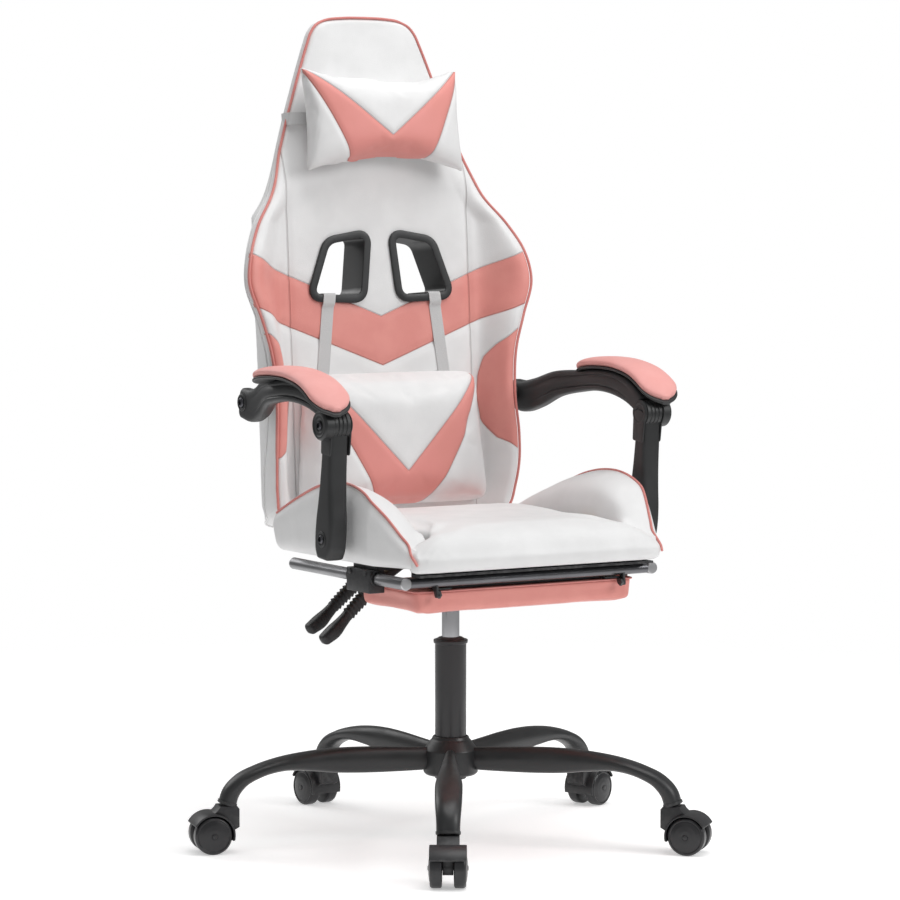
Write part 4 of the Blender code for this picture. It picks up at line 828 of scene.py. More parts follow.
back = dict(face=-0.0195, rear=0.040, roll=0.008, rearRoll=0.006, columns=180, seamX=0.170)
outlineKnots = [(0.0, -0.030), (0.150, -0.030), (0.196, -0.028), (0.2165, -0.012), (0.2245, 0.020), (0.2285, 0.059),
                (0.2280, 0.104), (0.2240, 0.174), (0.2303, 0.249), (0.2463, 0.304), (0.2653, 0.364), (0.2573, 0.410),
                (0.2353, 0.455), (0.1990, 0.505), (0.1700, 0.580), (0.1520, 0.631), (0.1350, 0.678), (0.1185, 0.723),
                (0.1060, 0.755), (0.0970, 0.775), (0.0870, 0.7865), (0.0720, 0.7935), (0.0400, 0.7975), (0.0, 0.7985)]
wingKnots = np.array([(-0.030, 0.026), (0.014, 0.036), (0.059, 0.046), (0.104, 0.050), (0.174, 0.048), (0.249, 0.047),
                      (0.304, 0.048), (0.364, 0.046), (0.410, 0.040), (0.460, 0.023), (0.505, 0.008), (0.560, 0.0),
                      (0.81, 0.0)])
depthKnots = np.array([(-0.030, 0.056), (0.059, 0.050), (0.104, 0.043), (0.174, 0.034), (0.249, 0.027),
                       (0.364, 0.021),
                       (0.460, 0.023), (0.580, 0.026), (0.790, 0.026)])      # thickness at the side edge
widthKnots = np.array([(z, x) for x, z in outlineKnots[3:-2]])
chevron = [(-0.32, 0.3491), (0.0, 0.2262), (0.32, 0.3491), (0.32, 0.4350), (0.0, 0.3074), (-0.32, 0.4350)]
crescent = [(0.300, 0.290), (0.234, 0.281), (0.222, 0.272), (0.205, 0.257), (0.190, 0.235), (0.181, 0.205),
            (0.178, 0.170),
            (0.184, 0.130), (0.200, 0.100), (0.222, 0.083), (0.245, 0.074), (0.300, 0.070)]


def atHeight(knots, z):
    fine = spline(knots, 400, 2)
    return np.interp(z, fine[:, 0], fine[:, 1])


def halfWidth(z):
    return atHeight(widthKnots, z)


def backTrim(x, z):
    return np.minimum(toPatch(np.column_stack([x, z]), chevron), toPatch(np.column_stack([np.abs(x), z]), crescent))


def wingAt(z):
    return atHeight(wingKnots, z)


def backFace(x, z, edge):
    # flat in the middle, wings forward at the sides, rolled over near the outline, a little sunk along the seams
    half = halfWidth(z)
    shoulder = np.minimum(0.185, half - 0.045)
    y = back["face"] - wingAt(z) * ease((np.abs(x) - shoulder) / np.maximum(half - 0.012 - shoulder, 0.01))
    y = y + 0.007 * ease((z - 0.52) / 0.06) * (np.abs(x) / np.maximum(half, 0.05)) ** 4
    t = np.clip(edge / back["roll"], 0, 1)
    y = y + back["roll"] * (1 - np.sqrt(np.maximum(0, 1 - (1 - t) ** 2)))
    sunk = 0.0022 * np.exp(-(backTrim(x, z) / 0.006) ** 2) * ease((edge - 0.004) / 0.01)
    upper = ease((0.56 - z) / 0.08)
    return y + sunk + 0.0022 * upper * np.exp(-((np.abs(x) - back["seamX"]) / 0.006) ** 2)


def backRear(x, z):
    # flat behind the middle, then a slope forward to the thin side edge
    half = halfWidth(z)
    flat = back["rear"] - 0.014 * np.clip((z - 0.58) / 0.2075, 0, 1)
    edgeAt = back["face"] - wingAt(z) + np.interp(z, depthKnots[:, 0], depthKnots[:, 1])
    knee = np.minimum(0.205, half - 0.016)
    t = (np.abs(x) - knee) / (half - 0.001 - knee)
    return flat + (edgeAt - flat) * np.clip((t + np.sqrt(t * t + 0.012)) / 2, 0, 1)


def buildBack():
    right = spline(outlineKnots, back["columns"], 2)
    ring = np.vstack([right, right[-2:0:-1] * (-1, 1)])
    spine = np.column_stack([np.zeros(len(ring)), np.clip(ring[:, 1], 0.10, 0.70)])
    share = np.linspace(0, 1, 62) ** 0.8
    rows = []
    reach = np.linalg.norm(ring - spine, axis=1)
    for s in share:
        at = spine + (ring - spine) * s
        y = backFace(at[:, 0], at[:, 1], (1 - s) * reach)
        rows.append(np.column_stack([at[:, 0], y, at[:, 1]]))
    frontEdge = rows[-1][:, 1]
    rearEdge = backRear(ring[:, 0], ring[:, 1]) - back["rearRoll"]
    out = np.column_stack([*unit(ring - spine).T])
    for k in np.linspace(0, 1, 9)[1:]:
        bulge = 0.0022 * math.sin(math.pi * k)
        rows.append(np.column_stack([ring[:, 0] + out[:, 0] * bulge, frontEdge + (rearEdge - frontEdge) * k,
                                     ring[:, 1] + out[:, 1] * bulge]))
    for s in share[::-1][1:]:
        at = spine + (ring - spine) * s
        edge = (1 - s) * reach
        t = np.clip(edge / back["rearRoll"], 0, 1)
        y = backRear(at[:, 0], at[:, 1]) - back["rearRoll"] * (1 - np.sqrt(np.maximum(0, 1 - (1 - t) ** 2)))
        rows.append(np.column_stack([at[:, 0], y, at[:, 1]]))
    item = makeItem("backUpholstery", [skin(leaned(bent(rows, headBend)), caps="none")], backLeather, 60)
    for side, sign in sides:
        hole = grommetOutline(0.0033, sign)
        cutter = makeItem("holeCutter", [skin(leaned(np.array([[(x, y, z) for x, z in hole] for y in (-0.1, 0.1)])))],
                          backLeather)
        step = item.modifiers.new("hole", "BOOLEAN")
        step.operation, step.object, step.solver = "DIFFERENCE", cutter, "EXACT"
        bake(item)
        bpy.data.objects.remove(cutter)
    shadeSmooth(item, 50)
    x, y, z = bent(upright(readPoints(item)), headBend, -1).T
    front = y < backFace(x, z, 1.0) + back["roll"] + 0.0008
    storeField(item, "trim", np.where(front, backTrim(x, z), 0.05))
    storeField(item, "seam", np.where(front, np.abs(x) - back["seamX"], 0.05))
    fit(item, "back", "back_leather", "back_cushion")
    edgePath = np.column_stack([ring[:, 0] + out[:, 0] * 0.0005, frontEdge - 0.0060, ring[:, 1] + out[:, 1] * 0.0005])
    piece("backPiping", [skin(pipe(leaned(bent(edgePath, headBend)), 0.0022, (0, 1, 0.01), 12, True), caps="loop")],
          pipingLeather, "back", "pink_leather")
    rearPath = np.column_stack([ring[:, 0] + out[:, 0] * 0.0002, rearEdge + 0.0030, ring[:, 1] + out[:, 1] * 0.0002])
    rearCord = makeItem("backRearPiping", [skin(pipe(leaned(bent(rearPath, headBend)), 0.0016, (0, 1, 0.01), 10,
                                                     True), caps="loop")], pillowLeather)
    storeField(rearCord, "trim", np.full(len(rearCord.data.vertices), 0.05))
    fit(rearCord, "back", "white_leather")


backSteel = dict(outer=0.1833, tube=0.020, y=0.009, foot=-0.020, top=0.4785, rails=(0.050, 0.225, 0.4685))


def buildBackFrame():
    # two square uprights joined by three rails, with a lug at each hinge
    f = backSteel
    y0, y1 = f["y"], f["y"] + f["tube"]
    skins = []
    for side, sign in sides:
        x0, x1 = span(sign, f["outer"] - f["tube"], f["outer"])
        skins.append(skin(leaned(block((x0, y0, f["foot"]), (x1, y1, f["top"]), 0.003, 0.001))))
        x0, x1 = span(sign, f["outer"] - 0.005, f["outer"])
        skins.append(skin(leaned(block((x0, -0.013, -0.013), (x1, y0 + 0.002, 0.013), 0.001, 0.001))))
    inner = f["outer"] - f["tube"] + 0.002
    for z in f["rails"]:
        skins.append(skin(leaned(block((-inner, y0 + 0.002, z - 0.010), (inner, y1 - 0.002, z + 0.010), 0.002,
                                       0.001))))
    piece("backFrame", skins, pressedBlack, "back", "black_metal", "back_frame")
    low, top, radius = seatTop - 0.0153, seatTop - 0.0003, 0.0125
    for side, sign in sides:
        angle = np.radians(np.linspace(-40, 160, 15))
        rounded = np.column_stack([hinge[1] + radius * np.cos(angle), hinge[2] + radius * np.sin(angle)])
        outline = np.vstack([[(0.030, low), (0.172, low)], rounded, [(0.158, top), (0.030, top)]])
        x0, x1 = span(sign, 0.1838, 0.1880)
        piece("hingeCheek_" + side, [skin(prism(outline, *sidePlane, x0, x1, 0.0006))], pressedBlack, "seat",
              "black_metal", "seat_hinge_plate_" + side)


grommet = dict(hole=((0.040, 0.342), (0.125, 0.345), (0.095, 0.426), (0.029, 0.437)), wall=0.003, rim=0.013,
               lip=0.004)


def grommetOutline(offset, sign):
    outline = offsetOutline(soften(grommet["hole"], 0.013, 9), offset)
    return outline * (sign, 1)


def buildGrommet(side, sign):
    front, rear, rim, lip = back["face"] - gap, back["rear"] + gap, grommet["rim"], grommet["lip"]
    profile = soften([(0, front - lip), (rim, front - lip), (rim, front + 0.0012), (0.003, front + 0.0012),
                      (0.003, rear),
                      (rim, rear), (rim, rear + lip), (0, rear + lip)], 0.0014, 4)
    rows = [[(x, y, z) for x, z in grommetOutline(offset, sign)] for offset, y in profile]
    piece("grommetRing_" + side, [skin(leaned(np.array(rows)), caps="loop")], grommetPlastic, "back",
          "grommet_plastic", "grommet_" + side)


buildBack()
buildBackFrame()
for side, sign in sides:
    buildGrommet(side, sign)
print("back made")


def pillowRows(widthAt, heightAt, centre, rear, thick, edge, hollow, square, power, columns=60, levels=44):
    # domed in front, flat behind but for the rise to its edge; u runs across and v up,
    # and the dome is (1-|u|^square)(1-|v|^square) to a power
    rows = []
    for v in np.linspace(-1, 1, levels):
        u = np.linspace(-1, 1, columns)
        x = u * widthAt(v)
        z = centre + v * heightAt(u)
        fill = np.maximum(0, (1 - np.abs(u) ** square) * (1 - abs(v) ** square)) ** power
        frontSheet = np.column_stack([x, rear - edge - (thick - edge) * fill, z])
        rearSheet = np.column_stack([x, rear - hollow * (1 - fill), z])[::-1]
        rows.append(np.vstack([frontSheet, rearSheet]))
    return np.array(rows)


headPillow = dict(z=0.627, half=0.147, rise=0.083, thick=0.062)
lumbar = dict(low=0.006, height=0.208, wide=0.176, narrow=0.160, thick=0.070)
headVee = [(0.156, 0.722), (0.108, 0.632), (0.060, 0.535), (-0.060, 0.535), (-0.108, 0.632), (-0.156, 0.722),
           (0.0, 0.600)]
lumbarVee = [(0.164, 0.224), (0.108, 0.103), (0.040, -0.012), (-0.040, -0.012), (-0.108, 0.103), (-0.164, 0.224),
             (0.0, 0.053)]


def finishPillow(name, rows, patch, body, replaced, voxel, cap, rear, limits, way):
    item = makeItem(name, [skin(leaned(bent(rows, way)))], pillowLeather)
    puff(item, voxel, 4.0, cap, lambda p: bent(upright(p), way, -1)[:, 1] > rear - 0.0035)
    local = bent(upright(readPoints(item)), way, -1)
    local[:, 1] = np.minimum(local[:, 1], rear)
    local[:, 2] = np.maximum(local[:, 2], limits[0])
    local[:, 0] = np.clip(local[:, 0], -limits[1], limits[1])
    writePoints(item, leaned(bent(local, way)))
    trim = toPatch(local[:, [0, 2]], patch)
    outward = upright(readNormals(item) + hinge)
    front = (outward[:, 1] < 0.1) & (local[:, 1] < rear - 0.006)
    sunk = 0.0020 * np.exp(-(trim / 0.0045) ** 2) * front
    local = local - outward * sunk[:, None]
    writePoints(item, leaned(bent(local, way)))
    storeField(item, "trim", np.where(front, trim, 0.05))
    shadeSmooth(item, 60)
    fit(item, body, "white_leather", replaced)


def buildPillows():
    rear = back["face"] - 2 * gap - 0.0015
    p = headPillow
    rows = pillowRows(lambda v: (p["half"] + 0.003) * (0.965 + 0.035 * v * v),
                      lambda u: (p["rise"] + 0.004) * (0.75 + 0.25 * np.abs(u) ** 2.0), p["z"], rear,
                      p["thick"] - 0.004,
                      0.029, 0.024, 4, 0.6)
    finishPillow("headPillow", rows, headVee, "head_cushion", "head_pillow", 0.005, 0.008, rear, (0.5, 0.153),
                 pillowBend)
    q = lumbar
    mid, tall = q["low"] + q["height"] / 2 - 0.004, q["height"] / 2 + 0.003
    rows = pillowRows(lambda v: (q["wide"] + q["narrow"]) / 2 - 0.003 - (q["wide"] - q["narrow"]) / 2 * v,
                      lambda u: tall * (0.985 + 0.015 * u * u), mid, rear, q["thick"] - 0.006, 0.016, 0, 7, 0.36)
    finishPillow("lumbarPillow", rows, lumbarVee, "lumbar_cushion", "lumbar_pillow", 0.0055, 0.006, rear,
                 (q["low"] - 0.008, 0.180), lambda z: 0 * z)


def buildStraps():
    thick, half = 0.0015, 0.010
    level = headPillow["z"] + 0.004
    x0 = float(halfWidth(np.array(level))) + 0.0012
    near, far = back["face"] + 0.0005, back["rear"] - 0.0030
    loop = soften([(x0, near), (x0, 0.0070), (x0 - 0.018, far), (0.018 - x0, far), (-x0, 0.0070), (-x0, near)], 0.006,
                  9)
    rows = []
    for grow, z in ((0.0, -half), (0.0, half), (thick, half), (thick, -half)):
        rows.append(np.column_stack([offsetOutline(loop, grow), np.full(len(loop), level + z)]))
    piece("headStrap", [skin(leaned(bent(rows, pillowBend)), caps="loop")], whiteWebbing, "head_cushion", "webbing",
          "head_strap")
    (a0, b0), (a1, b1) = grommet["hole"][:2]
    sill = b0 + (b1 - b0) * (0.110 - a0) / (a1 - a0)
    halfThick = thick / 2
    near, far = back["face"] - gap - halfThick, back["rear"] + gap + halfThick
    lip, over, rampAt = grommet["lip"] + gap, sill + gap + halfThick, sill - grommet["rim"] - 0.004
    path = soften([(near, 0.100), (near, rampAt - 0.004), (near - lip, rampAt + 0.001), (near - lip, over),
                   (far + lip, over), (far + lip, rampAt), (far, rampAt - 0.004), (far, sill - 0.062)], 0.0035, 6,
                  False)
    for side, sign in sides:
        share = np.where(path[:, 0] < 0.0, np.clip((path[:, 1] - 0.10) / (sill - 0.10), 0, 1), 1.0)
        points = np.column_stack([sign * (0.128 - 0.029 * share), path])
        track = leaned(evenSteps(points, 200))
        grid = sweep(track, (1, 0, 0), 0.011, halfThick, 8.0, 24)
        piece("lumbarStrap_" + side, [skin(grid)], whiteWebbing, "back", "webbing", "lumbar_strap_" + side)


buildPillows()
buildStraps()
print("pillows and straps made")


arm = dict(postX=0.284, postHalf=0.019, foot=(-0.122, 0.509), head=(-0.139, 0.684), disc=0.023, barrel=0.0205,
           forkIn=0.0125, forkOut=0.0159, slim=0.003, beamX=0.257, knuckleX=0.2857, bossX=0.2318, rearBoltX=0.2705,
           pivot=(0.200, 0.700), padHalf=0.0325)


def boltHead(spot, x, sign, radius=0.0066, deep=0.0036):
    # a domed flange with a hexagonal recess in it
    rim = turned(soften([(0.0040, 0.0), (radius, 0.0), (radius, 0.0012), (radius * 0.72, deep), (0.0042, deep)],
                        0.0008), (x, spot[0], spot[1]), (sign, 0, 0), 40)
    socket = turned([(0.0044, deep - 0.0001), (0.0044, deep - 0.0022), (0.0002, deep - 0.0022)],
                    (x, spot[0], spot[1]), (sign, 0, 0), 6)
    return [skin(rim, caps="loop"), skin(socket[::-1], caps="none")]


def buildPost(side, sign):
    foot, head = np.array([0, *arm["foot"]]), np.array([0, *arm["head"]])
    run = head - foot
    up = unit(run)
    fore = np.array([0, -up[2], up[1]])
    middle = np.array([sign * (arm["postX"] + arm["slim"]), 0, 0])
    knots = np.array([(-0.16, 0.0165), (-0.11, 0.0222), (0.00, 0.0256), (0.14, 0.0250), (0.32, 0.0205),
                      (0.52, 0.0166),
                      (0.74, 0.0144), (0.92, 0.0136)])
    track = spline(np.column_stack([knots[:, 0], knots[:, 1] * 8]), 60, 1)
    path = foot + middle + run * track[:, :1]
    skins = [skin(sweep(path, (1, 0, 0), arm["postHalf"] - arm["slim"], track[:, 1] / 8, 6.0, 48, (0.005, 0.0)))]
    inner, outer = arm["postX"] - arm["forkIn"], arm["postX"] + arm["forkOut"]
    for x0, x1, r in ((inner - gap - 0.004, inner - gap, 0.0205), (outer + gap, outer + gap + 0.017, arm["disc"])):
        depth = x1 - x0
        profile = soften([(0.0045, 0.0), (r - 0.001, 0.0), (r, 0.001), (r, depth - 0.003), (r - 0.003, depth),
                          (r - 0.006, depth), (r - 0.0075, depth - 0.0012), (0.0105, depth - 0.0012),
                          (0.0095, depth - 0.003),
                          (0.0045, depth - 0.003)], 0.0010)
        outside = x0 > arm["postX"]
        at, way = (sign * (x0 if outside else x1), *arm["head"]), sign if outside else -sign
        skins.append(skin(turned(profile, at, (way, 0, 0), 64), caps="loop"))
        low = head - up * 0.046
        cheek = np.array([(low + fore * 0.0145)[1:], (head + fore * 0.0165)[1:], (head + up * 0.006)[1:],
                          (head - fore * 0.0165)[1:], (low - fore * 0.0145)[1:]])
        a, b = span(sign, x0 + 0.0005, x0 + 0.0030)
        skins.append(skin(prism(soften(cheek, 0.004), *sidePlane, a, b, 0.001)))
    recess = turned(soften([(0.0090, 0.0), (0.0125, 0.0), (0.0125, 0.0010), (0.0110, 0.0016), (0.0090, 0.0012)],
                           0.0005),
                    (sign * (arm["postX"] + arm["postHalf"] - 0.0003), *arm["foot"]), (sign, 0, 0), 40)
    skins.append(skin(recess, caps="loop"))
    piece("armPost_" + side, skins, armPlastic, "arm_post_" + side, "arm_plastic", "arm_post_" + side)
    footBolt = boltHead(arm["foot"], sign * (arm["postX"] + arm["postHalf"] + gap), sign)
    piece("armFootBolt_" + side, footBolt, boltSteel, "seat", "bolt_steel", "arm_foot_bolt_" + side)
    knuckleBolt = boltHead(arm["head"], sign * (outer + gap + 0.0145), sign)
    piece("armKnuckleBolt_" + side, knuckleBolt, boltSteel, "arm_beam_" + side, "bolt_steel",
          "arm_knuckle_bolt_" + side)


beamKnots = np.array([(0.210, 0.6985, 0.0245, 0.0), (0.180, 0.6955, 0.0262, 0.10), (0.150, 0.702, 0.0250, 0.25),
                      (0.105, 0.719, 0.0215, 0.52), (0.050, 0.726, 0.0180, 0.85), (0.0, 0.730, 0.0180, 1.0),
                      (-0.050, 0.727, 0.0190, 1.0), (-0.095, 0.715, 0.0185, 1.0), (-0.128, 0.697, 0.0160, 1.0)])


def buildBeam(side, sign):
    track = spline(beamKnots, 110, 2)
    share = np.clip(track[:, 3], 0, 1)
    out = arm["beamX"] + (arm["knuckleX"] - arm["beamX"]) * ease(share)
    path = np.column_stack([sign * out, track[:, :2]])
    long = np.linspace(0, 1, len(path))

    def grooves(u, v, width, height):
        # three shallow channels along both flanks, fading out at the ends
        level = v / np.maximum(height, 1e-6)
        fade = np.interp(np.linspace(0, 1, len(u)), (0, 0.12, 0.3, 0.75, 0.9, 1), (0, 0, 1, 1, 0, 0))[:, None]
        cut = sum(np.exp(-((level - at) / 0.085) ** 2) for at in (-0.45, 0.0, 0.42))
        return u * (1 - 0.22 * fade * cut), v

    half = 0.012 + 0.0018 * long
    skins = [skin(sweep(path, (1, 0, 0), half, track[:, 2], 4.0, 72, (0.006, 0.004), grooves))]
    inner, outer = arm["postX"] - arm["forkIn"] + gap, arm["postX"] + arm["forkOut"] - gap
    r = arm["barrel"]
    wide = outer - inner
    profile = [(0.0045, 0.0), (r, 0.0)]
    for k in (0.25, 0.5, 0.75):
        profile += [(r, wide * k - 0.0012), (r - 0.0012, wide * k - 0.0006), (r - 0.0012, wide * k + 0.0006),
                    (r, wide * k + 0.0012)]
    profile += [(r, wide), (0.0045, wide)]
    skins.append(skin(turned(soften(profile, 0.0006), (sign * inner, *arm["head"]), (sign, 0, 0), 64), caps="loop"))
    boss = soften([(0.0045, 0.0), (0.0135, 0.0), (0.0142, 0.0008), (0.0142, 0.0385), (0.0130, 0.0396),
                   (0.0108, 0.0396),
                   (0.0100, 0.0380), (0.0045, 0.0380)], 0.0006)
    skins.append(skin(turned(boss, (sign * arm["bossX"], *arm["pivot"]), (sign, 0, 0), 56), caps="loop"))
    piece("armBeam_" + side, skins, armPlastic, "arm_beam_" + side, "arm_plastic", "arm_beam_" + side)
    rearBolt = boltHead(arm["pivot"], sign * arm["rearBoltX"], sign, 0.0080)
    piece("armRearBolt_" + side, rearBolt, boltSteel, "back", "bolt_steel", "arm_rear_bolt_" + side)


padKnots = np.array([(0.068, 0.7385, 0.80), (0.034, 0.7465, 1.0), (-0.016, 0.7500, 1.0), (-0.066, 0.7470, 1.0),
                     (-0.112, 0.7355, 1.02), (-0.143, 0.7185, 1.04), (-0.166, 0.6985, 1.02)])


def buildArmPad(side, sign):
    x = sign * (arm["postX"] + 0.017)

    def crowned(u, v, width, height):
        # a flat underside, the top higher along the middle
        full = 1 - 0.25 * (np.abs(u) / np.maximum(width, 1e-6)) ** 2.5
        return u, np.where(v * dirUp > 0, v * full, v * 0.85)

    track = spline(padKnots, 110, 2)
    path = np.column_stack([np.full(110, x), track[:, 0], track[:, 1] + 0.0095])
    dirUp = np.sign(np.cross(unit(path[60] - path[50]), (1, 0, 0))[2])
    end = np.minimum(1, np.sqrt(1 - np.clip(1 - np.arange(110) / 14, 0, 0.97) ** 2))
    tip = np.sqrt(1 - np.clip(1 - np.arange(110)[::-1] / 15, 0, 0.97) ** 2)
    wide = arm["padHalf"] * track[:, 2] * (0.45 + 0.55 * end) * tip
    high = 0.0092 * (0.6 + 0.4 * end) * (0.45 + 0.55 * tip)
    pad = makeItem("armPad_" + side, [skin(sweep(path, (1, 0, 0), wide, high, 3.0, 56, (0.003, 0.002), crowned))],
                   armLeather, 50)
    fit(pad, "arm_beam_" + side, "arm_pad", "arm_pad_" + side)
    under = path + np.array([0, 0, -0.0080])
    under[:, 1] += np.linspace(0, -0.0015, 110)
    tray = sweep(under, (1, 0, 0), wide * 1.035, np.full(110, 0.0030), 3.5, 48, (0.003, 0.002))
    piece("armPadTray_" + side, [skin(tray)], armPlastic, "arm_beam_" + side, "arm_plastic")


for side, sign in sides:
    buildPost(side, sign)
    buildBeam(side, sign)
    buildArmPad(side, sign)
print("arms made")


footrest = dict(railX=0.224, railZ=0.447, railR=0.00925, front=-0.241, rear=0.110, barY=-0.235, barR=0.008,
                flip=(-0.241, 0.4275), padHalf=0.20025, padFront=-0.232, padRear=-0.048, padTop=0.434, padLow=0.396)


def buildFootrest():
    f = footrest
    for side, sign in sides:
        at = (sign * f["railX"], 0, f["railZ"])
        tube = soften([(0.0075, f["front"]), (f["railR"], f["front"]), (f["railR"], f["rear"]), (0.0075, f["rear"])],
                      0.0008, closed=False)
        piece("footrestRail_" + side, [skin(turned(tube, at, (0, 1, 0), 48))], railSteel, "footrest_frame",
              "rail_steel", "footrest_tube_" + side)
        plug = soften([(0.0004, -0.0020), (f["railR"] - 0.0006, -0.0018), (f["railR"] + 0.0001, -0.0008),
                       (f["railR"] + 0.0001, 0.0004)], 0.0007, closed=False)
        caps = [skin(turned(plug, np.array(at) + (0, f["front"], 0), (0, 1, 0), 40)),
                skin(turned(plug, np.array(at) + (0, f["rear"], 0), (0, -1, 0), 40))]
        piece("railCaps_" + side, caps, endSteel, "footrest_frame", "rail_steel")
        x0, x1 = span(sign, 0.2100, 0.2380)
        shell = [skin(block((x0, -0.154, 0.4247), (x1, -0.082, 0.4605), 0.003, 0.0015))]
        f0, f1 = span(sign, 0.096, 0.226)
        shell.append(skin(block((f0, -0.1535, 0.4594), (f1, -0.0825, 0.4676), 0.003, 0.001)))
        for y in (-0.141, -0.095):
            shell.append(skin(turned([(0.0002, 0.0022), (0.0045, 0.0018), (0.0048, 0.0)],
                                     (sign * 0.2378, y, 0.4550), (sign, 0, 0), 6)))
        for y in (-0.1545, -0.0815):            # nylon bearings proud of the block
            ring = soften([(f["railR"] + 0.0004, -0.003), (f["railR"] + 0.0035, -0.003), (f["railR"] + 0.0035, 0.003),
                           (f["railR"] + 0.0004, 0.003)], 0.0005)
            shell.append(skin(turned(ring, (at[0], y, at[2]), (0, 1, 0), 40), caps="loop"))
        piece("railHolder_" + side, shell, pressedBlack, "seat", "black_metal", "footrest_holder_" + side)
    end = f["railX"] - 0.008
    bar = soften([(0.006, -end), (f["barR"], -end), (f["barR"], end), (0.006, end)], 0.0005, closed=False)
    skins = [skin(turned(bar, (0, f["barY"], f["railZ"]), (1, 0, 0), 40))]
    piece("footrestBar", skins, barSteel, "footrest_frame", "rail_steel", "footrest_crossbar")
    skins = []
    fy, fz = f["flip"]
    ear = [(f["barY"] - 0.0060, f["railZ"]), (fy - 0.0045, fz), (fy - 0.003, fz - 0.0042), (fy + 0.003, fz - 0.0042),
           (fy + 0.0045, fz), (f["barY"] + 0.0060, f["railZ"])]
    for side, sign in sides:
        a, b = span(sign, 0.168, 0.172)
        skins.append(skin(prism(soften(ear, 0.002), *sidePlane, a, b, 0.0005)))
        a, b = span(sign, 0.1635, 0.170)
        skins.append(skin(turned([(0.0024, a), (0.0024, b)], (0, fy, fz), (1, 0, 0), 24)))
    piece("footrestEars", skins, pressedBlack, "footrest_frame", "rail_steel")
    low, top = f["padLow"] + 0.0025, f["padTop"] - 0.0012
    outline = soften([(-f["padHalf"], f["padFront"]), (f["padHalf"], f["padFront"]), (f["padHalf"], f["padRear"]),
                      (-f["padHalf"], f["padRear"])], 0.020, 9)
    rows = [np.column_stack([offsetOutline(outline, -inset), np.full(len(outline), z)])
            for inset, z in ((0.007, low), (0.0035, low + 0.003), (0.0025, low + 0.008), (0.0025, top - 0.003),
                             (0.0035, top))]
    pad = makeItem("footrestPad", [skin(np.array(rows))], pinkLeather)
    puff(pad, 0.005, 4.0, 0.0028, lambda p: p[:, 2] > top - 0.003)
    p = readPoints(pad)
    p[:, 2] = np.minimum(p[:, 2], f["padTop"] - 0.0001)
    writePoints(pad, p)
    fit(pad, "footrest_flap", "pink_leather", "footrest_pad")
    edge = offsetOutline(outline, -0.0010)
    rim = np.column_stack([edge, np.full(len(edge), f["padTop"] - 0.0025)])
    piece("footrestPiping", [skin(pipe(rim, 0.0014, (0, 0, 1), 8, True), caps="loop")], pipingLeather,
          "footrest_flap", "pink_leather")


def buildFrontAngle():
    # the black steel angle along the seat board's front edge
    outline = [(-0.262, 0.4573), (-0.236, 0.4573), (-0.236, 0.4675), (-0.241, 0.4675), (-0.241, 0.4612),
               (-0.262, 0.4612)]
    bar = skin(prism(np.array(outline), *sidePlane, -0.212, 0.212, 0.0005))
    piece("frontAngle", [bar], pressedBlack, "seat", "black_metal")


buildFootrest()
buildFrontAngle()
print("footrest made")

keptNodes = dict(gas_rod=boltSteel, release_button=innerNylon, chassis_plate=pressedBlack, seat_board=plywood,
                 hinge_pin_left=boltSteel, hinge_pin_right=boltSteel, footrest_pad_bracket=pressedBlack)
for name, finish in keptNodes.items():
    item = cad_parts[name]
    item.data.materials.clear()
    item.data.materials.append(finish)


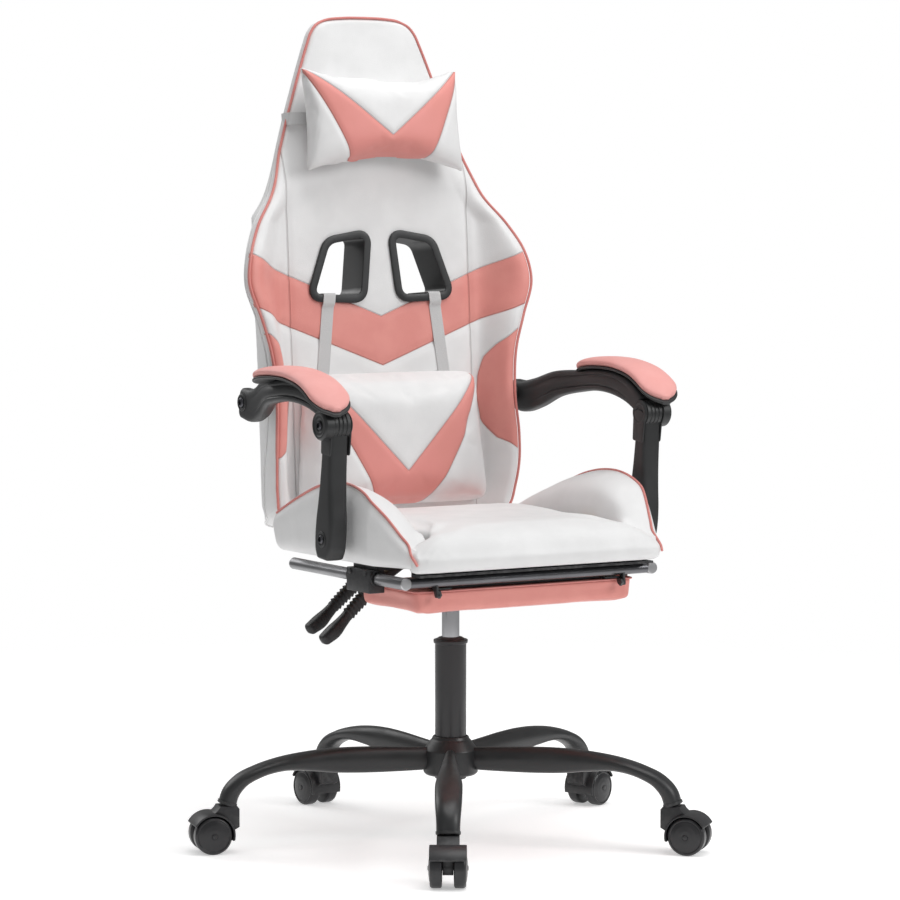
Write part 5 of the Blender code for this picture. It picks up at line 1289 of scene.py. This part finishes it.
def buildStage():
    material, tree, shader = newFinish("studioFloor", Roughness=0.85, Emission_Color=(1, 1, 1, 1),
                                       Emission_Strength=0.40)
    place = objectSpace(tree)
    mottle = noise(tree, place, 2.0, 3.0)
    tree.links.new(mixColour(tree, mottle, (0.90, 0.90, 0.90), (0.93, 0.93, 0.93)), shader.inputs["Base Color"])
    far = node(tree, "ShaderNodeVectorMath", {0: place}, operation="LENGTH").outputs["Value"]
    tree.links.new(ramp(tree, far, 0.9, 2.6, 1.0, 0.0), shader.inputs["Alpha"])
    ring = turned([(0.0001, 0.0), (3.0, 0.0)], (0, 0, 0), count=96)
    floor = makeItem("floor", [skin(ring, caps="none")], material)
    world = bpy.data.worlds.new("studio")
    scene.world = world
    world.use_nodes = True
    tree = world.node_tree
    tree.nodes.clear()
    seen = node(tree, "ShaderNodeBackground", {"Color": (1, 1, 1, 1), "Strength": 1.0})
    fill = node(tree, "ShaderNodeBackground", {"Color": (1, 1, 1, 1), "Strength": 0.28})
    rays = node(tree, "ShaderNodeLightPath")
    mix = node(tree, "ShaderNodeMixShader", {0: rays.outputs["Is Camera Ray"], 1: fill.outputs[0],
                                             2: seen.outputs[0]})
    node(tree, "ShaderNodeOutputWorld", {"Surface": mix.outputs[0]})
    for name, at, aim, size, power in (("keyLight", (2.6, -3.6, 3.0), (0, 0, 0.7), 2.2, 90.0),
                                       ("topLight", (0.2, -0.6, 3.6), (0, 0, 0.5), 2.6, 68.0),
                                       ("sideLight", (-3.2, -2.2, 1.6), (0, 0, 0.6), 1.6, 3.0),
                                       ("rearLight", (-1.2, 3.4, 2.6), (0, 0, 0.7), 2.4, 40.0)):
        data = bpy.data.lights.new(name, "AREA")
        data.shape, data.size, data.energy = "SQUARE", size, power
        lamp = bpy.data.objects.new(name, data)
        lamp.location = at
        lamp.rotation_euler = (Vector(aim) - Vector(at)).to_track_quat("-Z", "Y").to_euler()
        scene.collection.objects.link(lamp)
    scene.view_settings.view_transform = "Standard"
    scene.view_settings.look = "None"


def placeCamera():
    data = bpy.data.cameras.new("camera")
    data.sensor_width, data.lens = 36.0, 138.04
    data.clip_end = 60.0
    camera = bpy.data.objects.new("camera", data)
    eye = np.array([-2.836, -4.695, 1.034]) + shift
    aim = np.array([-0.0009, 0.0005, 0.626]) + shift
    camera.location = eye
    camera.rotation_euler = Vector(aim - eye).to_track_quat("-Z", "Y").to_euler()
    scene.collection.objects.link(camera)
    scene.camera = camera


buildStage()
placeCamera()
print("stage made")
